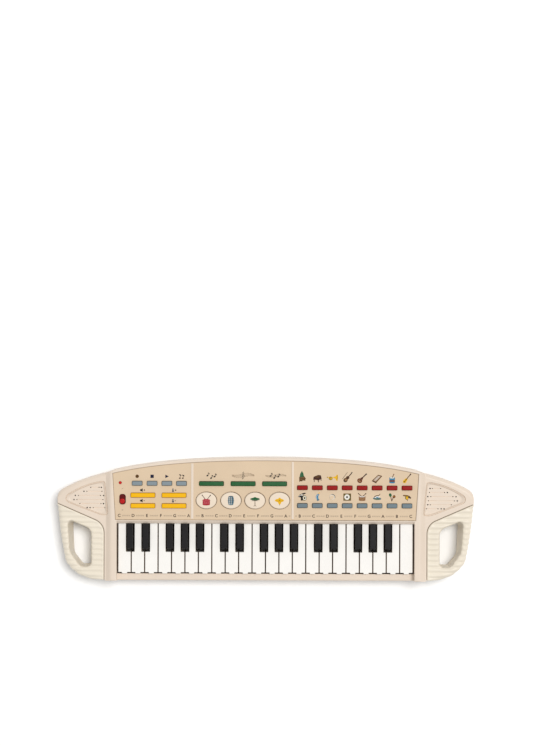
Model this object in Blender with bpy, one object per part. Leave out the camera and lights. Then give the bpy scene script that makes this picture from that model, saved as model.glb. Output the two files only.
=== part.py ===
"""Toy electronic keyboard: 37 small keys, a button panel, two speakers and two handles.

Metres. +X runs along the keys to the treble end, +Y to the back and +Z up. The origin is on
the table, under the middle of the instrument. Every key turns in a rail under the panel, and
every button, pad and knob slides in the panel.
"""

import math

import bmesh
import bpy
from mathutils import Matrix, Vector

# Case outline, seen from above
BACK_Y = 0.0745
FRONT_Y = -0.0745
BACK_BEND = 0.28            # back edge: y = BACK_Y - BACK_BEND x^2 - BACK_CURL x^4
BACK_CURL = 5.3
DECK_END_X = 0.1836         # where the raised deck's back edge steps in to the wings
DECK_SIDE_X = 0.1925        # foot of the raised deck's sloping side
DECK_CREST_X = 0.1856       # top of that side
DECK_LEAN = 0.0002          # how far the deck's front and back lean in as they rise
SEAM_X = 0.1944             # straight part of the seam between case and handle
SEAM_CORNER_Y = -0.0056
SEAM_END = (0.2510, 0.0190)
SEAM_RADIUS = 0.0175
WING_START = (0.1905, 0.0558)

# Heights
FOOT_HEIGHT = 0.002
FLOOR_TOP = 0.0042
SPLIT_Z = 0.017
WING_Z = 0.033
DECK_Z = 0.037
RAIL_TOP_Z = 0.0265
WALL = 0.0022
GAP = 0.0003                # between neighbouring pieces
MERGE = 0.001               # how far solids that are joined reach into each other
FAR = 0.3                   # beyond every side of the case

# Keys
PITCH = 0.0162
WHITE_COUNT = 22
KEY_GAP = 0.0013
WHITE_TOP_Z = 0.031
WHITE_BOTTOM_Z = 0.020
WHITE_FRONT_Y = -0.0659
WHITE_CORNER_Y = -0.0646
WHITE_REAR_Y = -0.002
TONGUE_WIDTH = 0.0062
NOTCH_Y = -0.0398
BLACK_AFTER = {0: -0.0012, 1: 0.0012, 3: -0.0019, 4: 0.0, 5: 0.0019}
BLACK_WIDTH = 0.0100
BLACK_TOP_WIDTH = 0.0072
BLACK_TOP_Z = 0.0365
BLACK_BOTTOM_Z = 0.022
BLACK_FRONT_Y = -0.0390
BLACK_TOP_FRONT_Y = -0.0350
BLACK_REAR_Y = -0.0056
NOTCH_CLEARANCE = 0.0007
KEY_WALL = 0.0015
PIVOT_Y = 0.025
PIVOT_Z = 0.024
KNUCKLE_RADIUS = 0.0024
GROOVE_RADIUS = 0.0027
ARM_WIDTH = 0.005
ARM_TOP_Z = 0.0284
PLUNGER_Y = -0.015
PLUNGER_WIDTH = 0.003
PLUNGER_TIP_Z = 0.0162
KEYBED_X = 0.1788
KEYBED_FRONT_Y = -0.0664
KEYBED_LOW_Z = 0.0180
RAIL_THICKNESS = 0.0020
RAIL_WALL = 0.0015
CHEEK_WALL = 0.0020
CHEEK_END_Y = -0.0001
FALLBOARD_Y = -0.0048

# Control panel
PANEL_TOP_Z = 0.0362
PANEL_BORDER = 0.0036
PANEL_FRONT_X = 0.1800
PANEL_BACK_X = 0.1836
RIB_TOP_Z = 0.03695
PANEL_RIBS = ((-0.0902, -0.0866), (0.0310, 0.0342))
CAP_TOP_Z = 0.0388
COMB_Z = (0.0317, 0.0329)
COMB_MARGIN = 0.0014
PAD_SIZE = (0.0244, 0.0197)
PAD_RING = 0.0007
PAD_CENTRES = [(x, 0.0229) for x in (-0.0714, -0.0418, -0.0128, 0.0166)]
KNOB_SLOT = (0.0078, 0.0126)
KNOB_SLOT_CENTRE = (-0.1724, 0.0239)
KNOB_LENGTH = 0.0078
LAMP_CENTRE = (-0.1752, 0.0438)
LAMP_RADIUS = 0.0015
BUTTONS = {
    "transport_buttons": ("blue_grey", (0.0124, 0.0056),
                          [(x, 0.0432) for x in (-0.1548, -0.1368, -0.1190, -0.1014)]),
    "volume_tempo_buttons": ("yellow", (0.0295, 0.0057),
                             [(x, y) for y in (0.0289, 0.0162) for x in (-0.1478, -0.1103)]),
    "melody_buttons": ("green", (0.0296, 0.0055),
                       [(x, 0.0431) for x in (-0.0653, -0.0272, 0.0107)]),
    "instrument_buttons": ("red", (0.0126, 0.0054),
                           [(0.0442 + 0.018 * i, 0.0385) for i in range(8)]),
    "rhythm_buttons": ("blue_grey", (0.0124, 0.0056),
                       [(0.0442 + 0.018 * i, 0.0170) for i in range(8)]),
}

# Handles
HANDLE_Z = (0.0035, 0.0325)
HANDLE_WALL = 0.0026
HANDLE_EDGE = 0.002
HANDLE_MOUTH = (SEAM_X - 0.004, SEAM_X + 0.006, -0.066, -0.024)
HAND_HOLE = ((0.2362, -0.0009, 0.0036), (0.2104, -0.0127, 0.0100), (0.2104, -0.0573, 0.0050),
             (0.2195, -0.0569, 0.0060), (0.2298, -0.0455, 0.0120))

# Underside and inside
FEET = [(x, y) for x in (-0.165, 0.165) for y in (-0.058, 0.042)]
FOOT_RADIUS = 0.007
DOOR_X = 0.0500
DOOR_FRONT_Y = 0.0300
DOOR_TONGUE = 0.0020
DOOR_TONGUE_Z = 0.0032
BATTERY_BAY = (0.0560, 0.0325, 0.0640)
BATTERY_BAY_TOP_Z = 0.0200
BAY_ROOF = 0.0015
PIVOT_RAIL_LOW_Z = 0.0100
RAIL_POSTS_X = (-0.165, -0.110, 0.0, 0.110, 0.165)
BOARD_LEDGES_X = (-0.165, -0.055, 0.055, 0.165)
SPEAKER_CENTRE = (0.2110, 0.0262)
SPEAKER_RADIUS = 0.0198
GRILLE_ROWS = ((0.0378, 0.2004, 0.2120), (0.0330, 0.1969, 0.2200), (0.0280, 0.1985, 0.2270),
               (0.0229, 0.1957, 0.2290), (0.0182, 0.1985, 0.2252), (0.0133, 0.1935, 0.2090))
GRILLE_SLOT = 0.0015
CONTROL_BOARD = (0.1800, 0.0090, 0.0500, 0.0288, 0.0302)
CONTACT_BOARD = (0.1765, -0.0240, -0.0060, 0.0080, 0.0096)

COLOURS = {
    "case": (0.76, 0.67, 0.57),
    "deck_case": (0.78, 0.69, 0.60),
    "handle": (0.84, 0.78, 0.65),
    "panel": (0.75, 0.58, 0.43),
    "ivory": (0.93, 0.90, 0.86),
    "black": (0.018, 0.016, 0.018),
    "blue_grey": (0.21, 0.27, 0.29),
    "yellow": (0.84, 0.50, 0.01),
    "green": (0.03, 0.14, 0.06),
    "red": (0.26, 0.025, 0.022),
    "cream": (0.86, 0.72, 0.56),
    "board": (0.03, 0.16, 0.07),
    "rubber": (0.30, 0.31, 0.32),
    "grey": (0.45, 0.45, 0.44),
    "speaker": (0.03, 0.03, 0.032),
    "metal": (0.62, 0.60, 0.57),
}


# ---------------------------------------------------------------- outlines

def quadratic(start, control, end, count):
    """Points along a quadratic curve, both ends included."""
    points = []
    for step in range(count + 1):
        t = step / count
        weights = ((1 - t) ** 2, 2 * t * (1 - t), t * t)
        points.append(tuple(sum(w * p[axis] for w, p in zip(weights, (start, control, end)))
                            for axis in (0, 1)))
    return points


def fillet(before, corner, after, radius, count):
    """Arc that rounds one corner of a polygon."""
    middle = Vector(corner)
    back = (Vector(before) - middle).normalized()
    ahead = (Vector(after) - middle).normalized()
    half = back.angle(ahead) / 2
    centre = middle + (back + ahead).normalized() * radius / math.sin(half)
    start = middle + back * radius / math.tan(half) - centre
    turn = math.pi - 2 * half
    if back.cross(ahead) > 0:
        turn = -turn
    arc = []
    for step in range(count + 1):
        arc.append(tuple(centre + Matrix.Rotation(turn * step / count, 2) @ start))
    return arc


def rounded(corners, count):
    """Polygon through (x, y, radius) corners, each one rounded."""
    points = []
    for index, (x, y, radius) in enumerate(corners):
        after = corners[(index + 1) % len(corners)]
        points += fillet(corners[index - 1][:2], (x, y), after[:2], radius, count)
    return points


def rounded_rectangle(centre, size, radius, count=1):
    half_x, half_y = size[0] / 2, size[1] / 2
    signs = ((-1, -1), (1, -1), (1, 1), (-1, 1))
    return rounded([(centre[0] + sx * half_x, centre[1] + sy * half_y, radius)
                    for sx, sy in signs], count)


def ellipse(centre, size, count):
    angles = [2 * math.pi * step / count for step in range(count)]
    return [(centre[0] + size[0] / 2 * math.cos(a), centre[1] + size[1] / 2 * math.sin(a))
            for a in angles]


def inset(points, distance):
    """Polygon with every edge moved inwards, or outwards where distance is negative."""
    moved = []
    for index, point in enumerate(points):
        here = Vector(point)
        before = (here - Vector(points[index - 1])).normalized()
        after = (Vector(points[(index + 1) % len(points)]) - here).normalized()
        normal_before = Vector((-before.y, before.x))
        normal_after = Vector((-after.y, after.x))
        mitre = normal_before + normal_after
        moved.append(tuple(here + mitre * (2 * distance / mitre.length_squared)))
    return moved


def rectangle(x0, x1, y0, y1):
    return [(x0, y0), (x1, y0), (x1, y1), (x0, y1)]


def mirrored(half):
    """Whole outline from its right half, which runs from front to back."""
    return half + [(-x, y) for x, y in reversed(half) if x > 0]


def flipped(points):
    """The same outline on the other side of the middle, still anticlockwise."""
    return [(-x, y) for x, y in reversed(points)]


def back_edge(x):
    return BACK_Y - BACK_BEND * x ** 2 - BACK_CURL * x ** 4


def back_arc(start_x, drop, count=12):
    """Points along the back edge from start_x to the middle, moved forward by drop."""
    steps = [start_x * (count - step) / count for step in range(count + 1)]
    return [(x, back_edge(x) - drop) for x in steps]


def seam():
    """Right-hand seam between the case and the handle, from the front to the side."""
    corner = (SEAM_X, SEAM_CORNER_Y)
    front = (SEAM_X, FRONT_Y + 0.0005)
    return [front] + fillet(front, corner, SEAM_END, SEAM_RADIUS, 6) + [SEAM_END]


def shoulder():
    """Right-hand wing's edge, from the seam round the corner to the raised deck."""
    side = quadratic((0.2513, 0.0250), (0.2515, 0.0328), (0.2440, 0.0368), 5)
    slope = quadratic((0.2440, 0.0368), (0.2206, 0.0492), WING_START, 5)
    return side + slope[1:]


def case_outline():
    deck = back_arc(DECK_END_X, 0)
    return mirrored(seam() + shoulder() + [(DECK_END_X + 0.0042, 0.0564)] + deck)


def deck_outline(side_x, drop):
    """Outline of the raised deck, narrowing as it rises."""
    side = [(side_x, FRONT_Y + drop), (side_x, back_edge(side_x) - drop - 0.0012)]
    return mirrored(side + back_arc(DECK_END_X - drop, drop))


def wing_outline():
    overlap_x = DECK_SIDE_X - 0.010
    return [(overlap_x, FRONT_Y + 0.0005)] + seam() + shoulder() + [(overlap_x, 0.0550)]


def handle_outline():
    line = [(x + GAP, y - GAP) for x, y in seam()]
    side = quadratic(line[-1], (0.2492, -0.0150), (0.2416, -0.0513), 6)
    corner = quadratic((0.2416, -0.0513), (0.2300, -0.0705), (0.2078, -0.0735), 6)
    front = (line[0][0], -0.0738)
    return [front] + corner[::-1] + side[::-1][1:] + line[::-1][1:-1]


def panel_outline(clearance):
    """Outline of the tan control panel, drawn in by clearance."""
    front_y = clearance
    half = [(PANEL_FRONT_X - clearance, front_y)]
    half += back_arc(PANEL_BACK_X - clearance, PANEL_BORDER + clearance, 8)
    return mirrored(half)


def black_key_x(white_index):
    """Middle of the black key to the right of a white key, or None where there is none."""
    offset = BLACK_AFTER.get(white_index % 7)
    if offset is None or not 0 <= white_index < WHITE_COUNT - 1:
        return None
    return (white_index + 1 - WHITE_COUNT / 2) * PITCH + offset


def white_key_tail(index):
    """Left and right sides of a white key's narrow part between the black keys."""
    left = (index - WHITE_COUNT / 2) * PITCH + KEY_GAP / 2
    right = left + PITCH - KEY_GAP
    reach = BLACK_WIDTH / 2 + NOTCH_CLEARANCE
    black_left = black_key_x(index - 1)
    black_right = black_key_x(index)
    tail_left = left if black_left is None else black_left + reach
    tail_right = right if black_right is None else black_right - reach
    return left, tail_left, tail_right, right


def white_key_outline(index):
    left, tail_left, tail_right, right = white_key_tail(index)
    tongue_left = (left + right - TONGUE_WIDTH) / 2
    tongue_right = tongue_left + TONGUE_WIDTH
    points = [(left, WHITE_CORNER_Y), (tongue_left, WHITE_CORNER_Y),
              (tongue_left, WHITE_FRONT_Y), (tongue_right, WHITE_FRONT_Y),
              (tongue_right, WHITE_CORNER_Y), (right, WHITE_CORNER_Y)]
    if tail_right < right:
        points += [(right, NOTCH_Y), (tail_right, NOTCH_Y)]
    points += [(tail_right, WHITE_REAR_Y), (tail_left, WHITE_REAR_Y)]
    if tail_left > left:
        points += [(tail_left, NOTCH_Y), (left, NOTCH_Y)]
    return points


# ---------------------------------------------------------------- solids

def new_object(name, mesh_builder):
    """Scene object whose mesh is what mesh_builder leaves in a bmesh."""
    build = bmesh.new()
    mesh_builder(build)
    bmesh.ops.recalc_face_normals(build, faces=build.faces)
    mesh = bpy.data.meshes.new(name)
    build.to_mesh(mesh)
    build.free()
    thing = bpy.data.objects.new(name, mesh)
    bpy.context.scene.collection.objects.link(thing)
    return thing


def ring(build, points, z):
    return [build.verts.new((x, y, z)) for x, y in points]


def bridge(build, lower, upper):
    count = len(lower)
    for index in range(count):
        after = (index + 1) % count
        build.faces.new((lower[index], lower[after], upper[after], upper[index]))


def stack(name, layers):
    """Solid through (outline, z) layers, from the lowest up, all with as many points."""
    def make(build):
        rings = [ring(build, outline, z) for outline, z in layers]
        build.faces.new(rings[0][::-1])
        build.faces.new(rings[-1])
        for lower, upper in zip(rings, rings[1:]):
            bridge(build, lower, upper)
    return new_object(name, make)


def prism(name, outline, z0, z1):
    return stack(name, [(outline, z0), (outline, z1)])


def tapers(name, pairs, z0, z1):
    """Several separate solids in one mesh, each from a lower outline to an upper one."""
    def make(build):
        for lower, upper in pairs:
            bottom = ring(build, lower, z0)
            top = ring(build, upper, z1)
            build.faces.new(bottom[::-1])
            build.faces.new(top)
            bridge(build, bottom, top)
    return new_object(name, make)


def prisms(name, outlines, z0, z1):
    return tapers(name, [(outline, outline) for outline in outlines], z0, z1)


def box(name, x, y, z):
    return prism(name, rectangle(x[0], x[1], y[0], y[1]), z[0], z[1])


def lidded_shell(name, lower, lower_z, upper, upper_z, wall):
    """Hollow cap, open below: walls and a roof of one thickness."""
    def make(build):
        outer_low = ring(build, lower, lower_z)
        outer_high = ring(build, upper, upper_z)
        inner_low = ring(build, inset(lower, wall), lower_z)
        inner_high = ring(build, inset(upper, wall), upper_z - wall)
        bridge(build, outer_low, outer_high)
        build.faces.new(outer_high)
        bridge(build, inner_low, inner_high)
        build.faces.new(inner_high)
        bridge(build, outer_low, inner_low)
    return new_object(name, make)


def extruded_profile(name, profile, x0, x1):
    """Profile of (y, z) points carried along X."""
    def make(build):
        left = [build.verts.new((x0, y, z)) for y, z in profile]
        right = [build.verts.new((x1, y, z)) for y, z in profile]
        build.faces.new(left)
        build.faces.new(right[::-1])
        bridge(build, left, right)
    return new_object(name, make)


def turned(name, profile, centre, count):
    """Solid of revolution about a vertical axis, from an (r, z) profile that ends on the axis."""
    def make(build):
        rings = [ring(build, ellipse(centre, (2 * r, 2 * r), count), z) for r, z in profile[1:-1]]
        bottom = build.verts.new((*centre, profile[0][1]))
        top = build.verts.new((*centre, profile[-1][1]))
        for lower, upper in zip(rings, rings[1:]):
            bridge(build, lower, upper)
        for index in range(count):
            after = (index + 1) % count
            build.faces.new((bottom, rings[0][after], rings[0][index]))
            build.faces.new((top, rings[-1][index], rings[-1][after]))
    return new_object(name, make)


def combine(target, tools, operation):
    """Apply Booleans to target and remove the tools."""
    for tool in tools:
        step = target.modifiers.new(operation, "BOOLEAN")
        step.operation = operation
        step.object = tool
        graph = bpy.context.evaluated_depsgraph_get()
        result = bpy.data.meshes.new_from_object(target.evaluated_get(graph))
        target.modifiers.clear()
        spent = (target.data, tool.data)
        target.data = result
        bpy.data.objects.remove(tool)
        for mesh in spent:
            bpy.data.meshes.remove(mesh)
    return target


def union(target, *tools):
    return combine(target, tools, "UNION")


def cut(target, *tools):
    return combine(target, tools, "DIFFERENCE")


def finish_piece(thing, look, origin=(0, 0, 0), round_angle=None):
    """Give a piece its material and its origin, and shade round faces smooth."""
    thing.data.name = thing.name
    thing.data.transform(Matrix.Translation(-Vector(origin)))
    thing.location = origin
    thing.data.materials.clear()
    thing.data.materials.append(material(look))
    if round_angle is not None:
        thing.data.shade_smooth()
        thing.data.set_sharp_from_angle(angle=math.radians(round_angle))
    return thing


def material(look):
    """Principled plastic, rubber or metal in one of the instrument's colours."""
    found = bpy.data.materials.get(look)
    if found:
        return found
    made = bpy.data.materials.new(look)
    made.use_nodes = True
    shader = made.node_tree.nodes["Principled BSDF"]
    shader.inputs["Base Color"].default_value = (*COLOURS[look], 1)
    shader.inputs["Metallic"].default_value = 1.0 if look == "metal" else 0.0
    glossy = look in ("ivory", "black")
    shader.inputs["Roughness"].default_value = 0.25 if glossy else 0.5
    return made


# ---------------------------------------------------------------- the keys

def key_arm(name, centre_x, front_y):
    """Arm that runs back under the panel and ends in the round knuckle the key turns on."""
    angles = [math.radians(60 - 290 * step / 9) for step in range(10)]
    knuckle = [(PIVOT_Y + KNUCKLE_RADIUS * math.cos(a), PIVOT_Z + KNUCKLE_RADIUS * math.sin(a))
               for a in angles]
    neck_z = PIVOT_Z + 0.0018
    profile = [(front_y, ARM_TOP_Z), (knuckle[0][0], ARM_TOP_Z)] + knuckle
    profile += [(PIVOT_Y - 0.0050, neck_z), (front_y, neck_z - 0.0036)]
    return extruded_profile(name, profile, centre_x - ARM_WIDTH / 2, centre_x + ARM_WIDTH / 2)


def key_plunger(name, centre_x, top_z):
    half = PLUNGER_WIDTH / 2
    return box(name, (centre_x - half, centre_x + half),
               (PLUNGER_Y - half, PLUNGER_Y + half), (PLUNGER_TIP_Z, top_z))


def make_white_key(index):
    _, tail_left, tail_right, _ = white_key_tail(index)
    centre_x = (tail_left + tail_right) / 2
    outline = white_key_outline(index)
    key = lidded_shell(f"white_key_{index + 1:02d}", outline, WHITE_BOTTOM_Z,
                       outline, WHITE_TOP_Z, KEY_WALL)
    arm = key_arm("arm", centre_x, WHITE_REAR_Y - 0.0022)
    plunger = key_plunger("plunger", centre_x, WHITE_TOP_Z - KEY_WALL / 2)
    union(key, arm, plunger)
    finish_piece(key, "ivory", (centre_x, PIVOT_Y, PIVOT_Z), 40)


def make_black_key(number, centre_x):
    half, top_half = BLACK_WIDTH / 2, BLACK_TOP_WIDTH / 2
    lower = rectangle(centre_x - half, centre_x + half, BLACK_FRONT_Y, BLACK_REAR_Y)
    upper = rectangle(centre_x - top_half, centre_x + top_half, BLACK_TOP_FRONT_Y, BLACK_REAR_Y)
    key = lidded_shell(f"black_key_{number:02d}", lower, BLACK_BOTTOM_Z,
                       upper, BLACK_TOP_Z, KEY_WALL)
    arm = key_arm("arm", centre_x, BLACK_REAR_Y - 0.0022)
    plunger = key_plunger("plunger", centre_x, BLACK_TOP_Z - KEY_WALL / 2)
    union(key, arm, plunger)
    finish_piece(key, "black", (centre_x, PIVOT_Y, PIVOT_Z), 40)


def make_keys():
    number = 0
    for index in range(WHITE_COUNT):
        make_white_key(index)
        centre_x = black_key_x(index)
        if centre_x is not None:
            number += 1
            make_black_key(number, centre_x)


def key_centres():
    """Where along X each key's plunger stands."""
    centres = []
    for index in range(WHITE_COUNT):
        _, tail_left, tail_right, _ = white_key_tail(index)
        centres.append((tail_left + tail_right) / 2)
        black_x = black_key_x(index)
        if black_x is not None:
            centres.append(black_x)
    return centres


# ---------------------------------------------------------------- the case

def case_body(name, drop, wing_top, deck_top, bottom):
    """Wings and raised deck as one solid, drawn in by drop on every side."""
    foot = deck_outline(DECK_SIDE_X - drop, drop)
    crest = deck_outline(DECK_CREST_X - drop, drop + DECK_LEAN)
    deck = stack(name, [(foot, bottom), (foot, wing_top + GAP), (crest, deck_top)])
    wing = inset(wing_outline(), drop)
    return union(deck, prism("wing", wing, bottom, wing_top),
                 prism("wing", flipped(wing), bottom, wing_top))


def grille_cutter():
    """Slots over the speakers, six to a side."""
    slots = []
    for y, inner, outer in GRILLE_ROWS:
        slot = rectangle(inner, outer, y - GRILLE_SLOT / 2, y + GRILLE_SLOT / 2)
        slots += [slot, flipped(slot)]
    return prisms("slots", slots, WING_Z - 0.006, WING_Z + 0.002)


def make_top_case():
    case = case_body("top_case", 0, WING_Z, DECK_Z, SPLIT_Z - 0.002)
    hollow = case_body("hollow", WALL, WING_Z - WALL, DECK_Z - WALL, SPLIT_Z - 0.004)
    below = box("below", (-FAR, FAR), (-FAR, FAR), (0, SPLIT_Z + GAP))
    keybed = box("keybed", (-KEYBED_X, KEYBED_X), (KEYBED_FRONT_Y, FALLBOARD_Y), (0, FAR))
    panel_hole = prism("panel_hole", panel_outline(0), WING_Z, FAR)
    rail_space = box("rail_space", (-KEYBED_X, KEYBED_X), (-FAR, 0), (RAIL_TOP_Z, FAR))
    cut(case, hollow, below, keybed, panel_hole, rail_space, grille_cutter())
    union(case, *keybed_walls(), fallboard())
    finish_piece(case, "deck_case", round_angle=30)


def keybed_walls():
    """Front rail with the wall behind it, and the cheeks at both ends of the keys."""
    rail_x = (-KEYBED_X - MERGE, KEYBED_X + MERGE)
    rail = box("rail", rail_x, (FRONT_Y + MERGE, KEYBED_FRONT_Y),
               (RAIL_TOP_Z - RAIL_THICKNESS, RAIL_TOP_Z))
    rail_wall = box("rail_wall", rail_x, (KEYBED_FRONT_Y - RAIL_WALL, KEYBED_FRONT_Y),
                    (KEYBED_LOW_Z, RAIL_TOP_Z - MERGE))
    cheek_y = (KEYBED_FRONT_Y - MERGE, CHEEK_END_Y)
    cheek_z = (KEYBED_LOW_Z, DECK_Z - MERGE)
    left = box("left_cheek", (-KEYBED_X - CHEEK_WALL, -KEYBED_X), cheek_y, cheek_z)
    right = box("right_cheek", (KEYBED_X, KEYBED_X + CHEEK_WALL), cheek_y, cheek_z)
    return rail, rail_wall, left, right


def fallboard():
    """Bar across the case above the backs of the keys, sloping down towards the player."""
    profile = [(-0.0001, DECK_Z), (-0.0010, DECK_Z), (FALLBOARD_Y, DECK_Z - 0.0036),
               (FALLBOARD_Y, DECK_Z - 0.0052), (-0.0034, DECK_Z - 0.0052),
               (-0.0001, DECK_Z - 0.0022)]
    return extruded_profile("fallboard", profile, -KEYBED_X - 0.0015, KEYBED_X + 0.0015)


def make_bottom_case():
    case = prism("bottom_case", case_outline(), FOOT_HEIGHT, SPLIT_Z)
    hollow = prism("hollow", inset(case_outline(), WALL), FLOOR_TOP, SPLIT_Z + 0.002)
    cut(case, hollow)
    feet = [prism("foot", ellipse(centre, (2 * FOOT_RADIUS, 2 * FOOT_RADIUS), 16),
                  0, FOOT_HEIGHT + MERGE) for centre in FEET]
    half_x, front_y, back_y = BATTERY_BAY
    bay = box("bay", (-half_x - WALL, half_x + WALL), (front_y - WALL + 0.0005, back_y + WALL),
              (FLOOR_TOP - MERGE, BATTERY_BAY_TOP_Z + BAY_ROOF))
    union(case, *feet, bay, *inner_supports())
    bay_space = box("bay_space", (-half_x, half_x), (front_y, back_y), (0, BATTERY_BAY_TOP_Z))
    cut(case, bay_space, *door_space())
    finish_piece(case, "case", round_angle=30)


def inner_supports():
    """Posts under the pivot rail and ledges under the key contact board."""
    low_z = FLOOR_TOP - MERGE
    post_z = (low_z, PIVOT_RAIL_LOW_Z - GAP)
    ledge_z = (low_z, CONTACT_BOARD[3] - GAP)
    post_y = (PIVOT_Y - 0.003, PIVOT_Y + 0.003)
    ledge_y = (PLUNGER_Y - 0.003, PLUNGER_Y + 0.003)
    posts = [box("post", (x - 0.004, x + 0.004), post_y, post_z) for x in RAIL_POSTS_X]
    ledges = [box("ledge", (x - 0.003, x + 0.003), ledge_y, ledge_z) for x in BOARD_LEDGES_X]
    return posts + ledges


def door_space():
    """Opening for the battery door, wider above for the tongues along its sides."""
    top_z = FLOOR_TOP + 0.0001
    half_x = DOOR_X + GAP
    y = (DOOR_FRONT_Y - GAP, FAR)
    lower = box("lower", (-half_x, half_x), y, (0, top_z))
    half_x += DOOR_TONGUE
    upper = box("upper", (-half_x, half_x), y, (DOOR_TONGUE_Z - GAP, top_z))
    return lower, upper


def make_battery_door():
    """Cover that slides out to the back on a tongue along each side."""
    back_y = back_edge(DOOR_X + DOOR_TONGUE) - 0.0002
    top_z = FLOOR_TOP - GAP
    plate = box("battery_door", (-DOOR_X, DOOR_X), (DOOR_FRONT_Y, back_y), (FOOT_HEIGHT, top_z))
    half_x = DOOR_X + DOOR_TONGUE
    tongue_y = (DOOR_FRONT_Y + DOOR_TONGUE, back_y - DOOR_TONGUE)
    union(plate, box("tongue", (-half_x, half_x), tongue_y, (DOOR_TONGUE_Z, top_z - 0.0001)))
    finish_piece(plate, "case", (0, DOOR_FRONT_Y, FOOT_HEIGHT))


def handle_solid(name, outline, hole):
    """One hollow handle: rounded shell, collar round the hand hole, mouth towards the case."""
    low, high = HANDLE_Z
    soft = inset(outline, HANDLE_EDGE)
    body = stack(name, [(soft, low), (outline, low + HANDLE_EDGE),
                        (outline, high - HANDLE_EDGE), (soft, high)])
    hollow = prism("hollow", inset(outline, HANDLE_WALL), low + HANDLE_WALL, high - HANDLE_WALL)
    cut(hollow, prism("collar", inset(hole, -HANDLE_WALL), 0, high))
    return cut(body, hollow, prism("hole", hole, 0, 2 * high))


def make_handle(name, side):
    outlines = [handle_outline(), rounded(HAND_HOLE, 4), rectangle(*HANDLE_MOUTH)]
    if side < 0:
        outlines = [flipped(outline) for outline in outlines]
    outline, hole, mouth = outlines
    body = handle_solid(name, outline, hole)
    mouth_z = (HANDLE_Z[0] + 0.006, HANDLE_Z[1] - 0.006)
    cut(body, prism("mouth", mouth, *mouth_z))
    finish_piece(body, "handle", round_angle=30)


# ---------------------------------------------------------------- the control panel

def make_control_panel():
    panel = prism("control_panel", panel_outline(GAP), 0.0342, PANEL_TOP_Z)
    flange_half = [(PANEL_FRONT_X + 0.0010, GAP), (PANEL_BACK_X - 0.0006, 0.0500)]
    flange_half += back_arc(PANEL_BACK_X - 0.0040, PANEL_BORDER - 0.0009, 8)
    flange = prism("flange", mirrored(flange_half), 0.0332, DECK_Z - WALL - GAP)
    ribs = [box("rib", rib, (0.001, back_edge(max(map(abs, rib))) - PANEL_BORDER - 0.0009),
                (PANEL_TOP_Z - 0.001, RIB_TOP_Z)) for rib in PANEL_RIBS]
    union(panel, flange, *ribs)
    holes = [rounded_rectangle(centre, (size[0] + 2 * GAP, size[1] + 2 * GAP), 0.0011)
             for _, size, centres in BUTTONS.values() for centre in centres]
    pad_hole = [side + 2 * PAD_RING for side in PAD_SIZE]
    holes += [ellipse(centre, pad_hole, 20) for centre in PAD_CENTRES]
    holes.append(rounded_rectangle(KNOB_SLOT_CENTRE, KNOB_SLOT, 0.0030, 3))
    lamp_hole = 2 * (LAMP_RADIUS + GAP)
    holes.append(ellipse(LAMP_CENTRE, (lamp_hole, lamp_hole), 12))
    cut(panel, prisms("holes", holes, 0.030, 0.040))
    finish_piece(panel, "panel", round_angle=30)


def make_button_comb(name, look, size, centres):
    """Row of caps moulded on one thin plate under the panel."""
    xs = [x for x, _ in centres]
    ys = [y for _, y in centres]
    reach_x, reach_y = size[0] / 2 + COMB_MARGIN, size[1] / 2 + COMB_MARGIN
    plate = box(name, (min(xs) - reach_x, max(xs) + reach_x),
                (min(ys) - reach_y, max(ys) + reach_y), COMB_Z)
    caps = prisms("caps", [rounded_rectangle(centre, size, 0.0010) for centre in centres],
                  COMB_Z[0] + 0.0004, CAP_TOP_Z)
    union(plate, caps)
    finish_piece(plate, look, (xs[0], ys[0], COMB_Z[0]))


def make_drum_pad(number, centre):
    pad = prism(f"drum_pad_{number}", ellipse(centre, PAD_SIZE, 20), COMB_Z[0] + 0.0004, CAP_TOP_Z)
    flange_size = [side + 2 * COMB_MARGIN for side in PAD_SIZE]
    union(pad, prism("flange", ellipse(centre, flange_size, 20), *COMB_Z))
    finish_piece(pad, "cream", (*centre, COMB_Z[0]), 40)


def make_power_switch_knob():
    """Slide knob, drawn at the front end of its slot."""
    x, slot_y = KNOB_SLOT_CENTRE
    y = slot_y - (KNOB_SLOT[1] - KNOB_LENGTH) / 2 + GAP
    width = KNOB_SLOT[0] - 2 * GAP
    knob = prism("power_switch_knob", rounded_rectangle((x, y), (width, KNOB_LENGTH), 0.0028, 3),
                 0.0325, CAP_TOP_Z)
    union(knob, box("base", (x - 0.0050, x + 0.0050), (y - 0.0050, y + 0.0050), (0.0320, 0.0329)))
    finish_piece(knob, "red", (x, y, 0.0320), 40)


# ---------------------------------------------------------------- inside

def make_pivot_rail():
    """Rail with a round groove that every key's knuckle snaps into."""
    lip = 0.0010
    lip_angle = math.asin(lip / GROOVE_RADIUS)
    sweep = math.pi + 2 * lip_angle
    angles = [lip_angle - sweep * step / 12 for step in range(13)]
    groove = [(PIVOT_Y + GROOVE_RADIUS * math.cos(a), PIVOT_Z + GROOVE_RADIUS * math.sin(a))
              for a in angles]
    half = 0.0042
    high = PIVOT_Z + lip
    profile = [(PIVOT_Y - half, high), (PIVOT_Y - half, PIVOT_RAIL_LOW_Z),
               (PIVOT_Y + half, PIVOT_RAIL_LOW_Z), (PIVOT_Y + half, high)] + groove
    rail = extruded_profile("key_pivot_rail", profile, -KEYBED_X + 0.0005, KEYBED_X - 0.0005)
    finish_piece(rail, "grey", round_angle=30)


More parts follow.
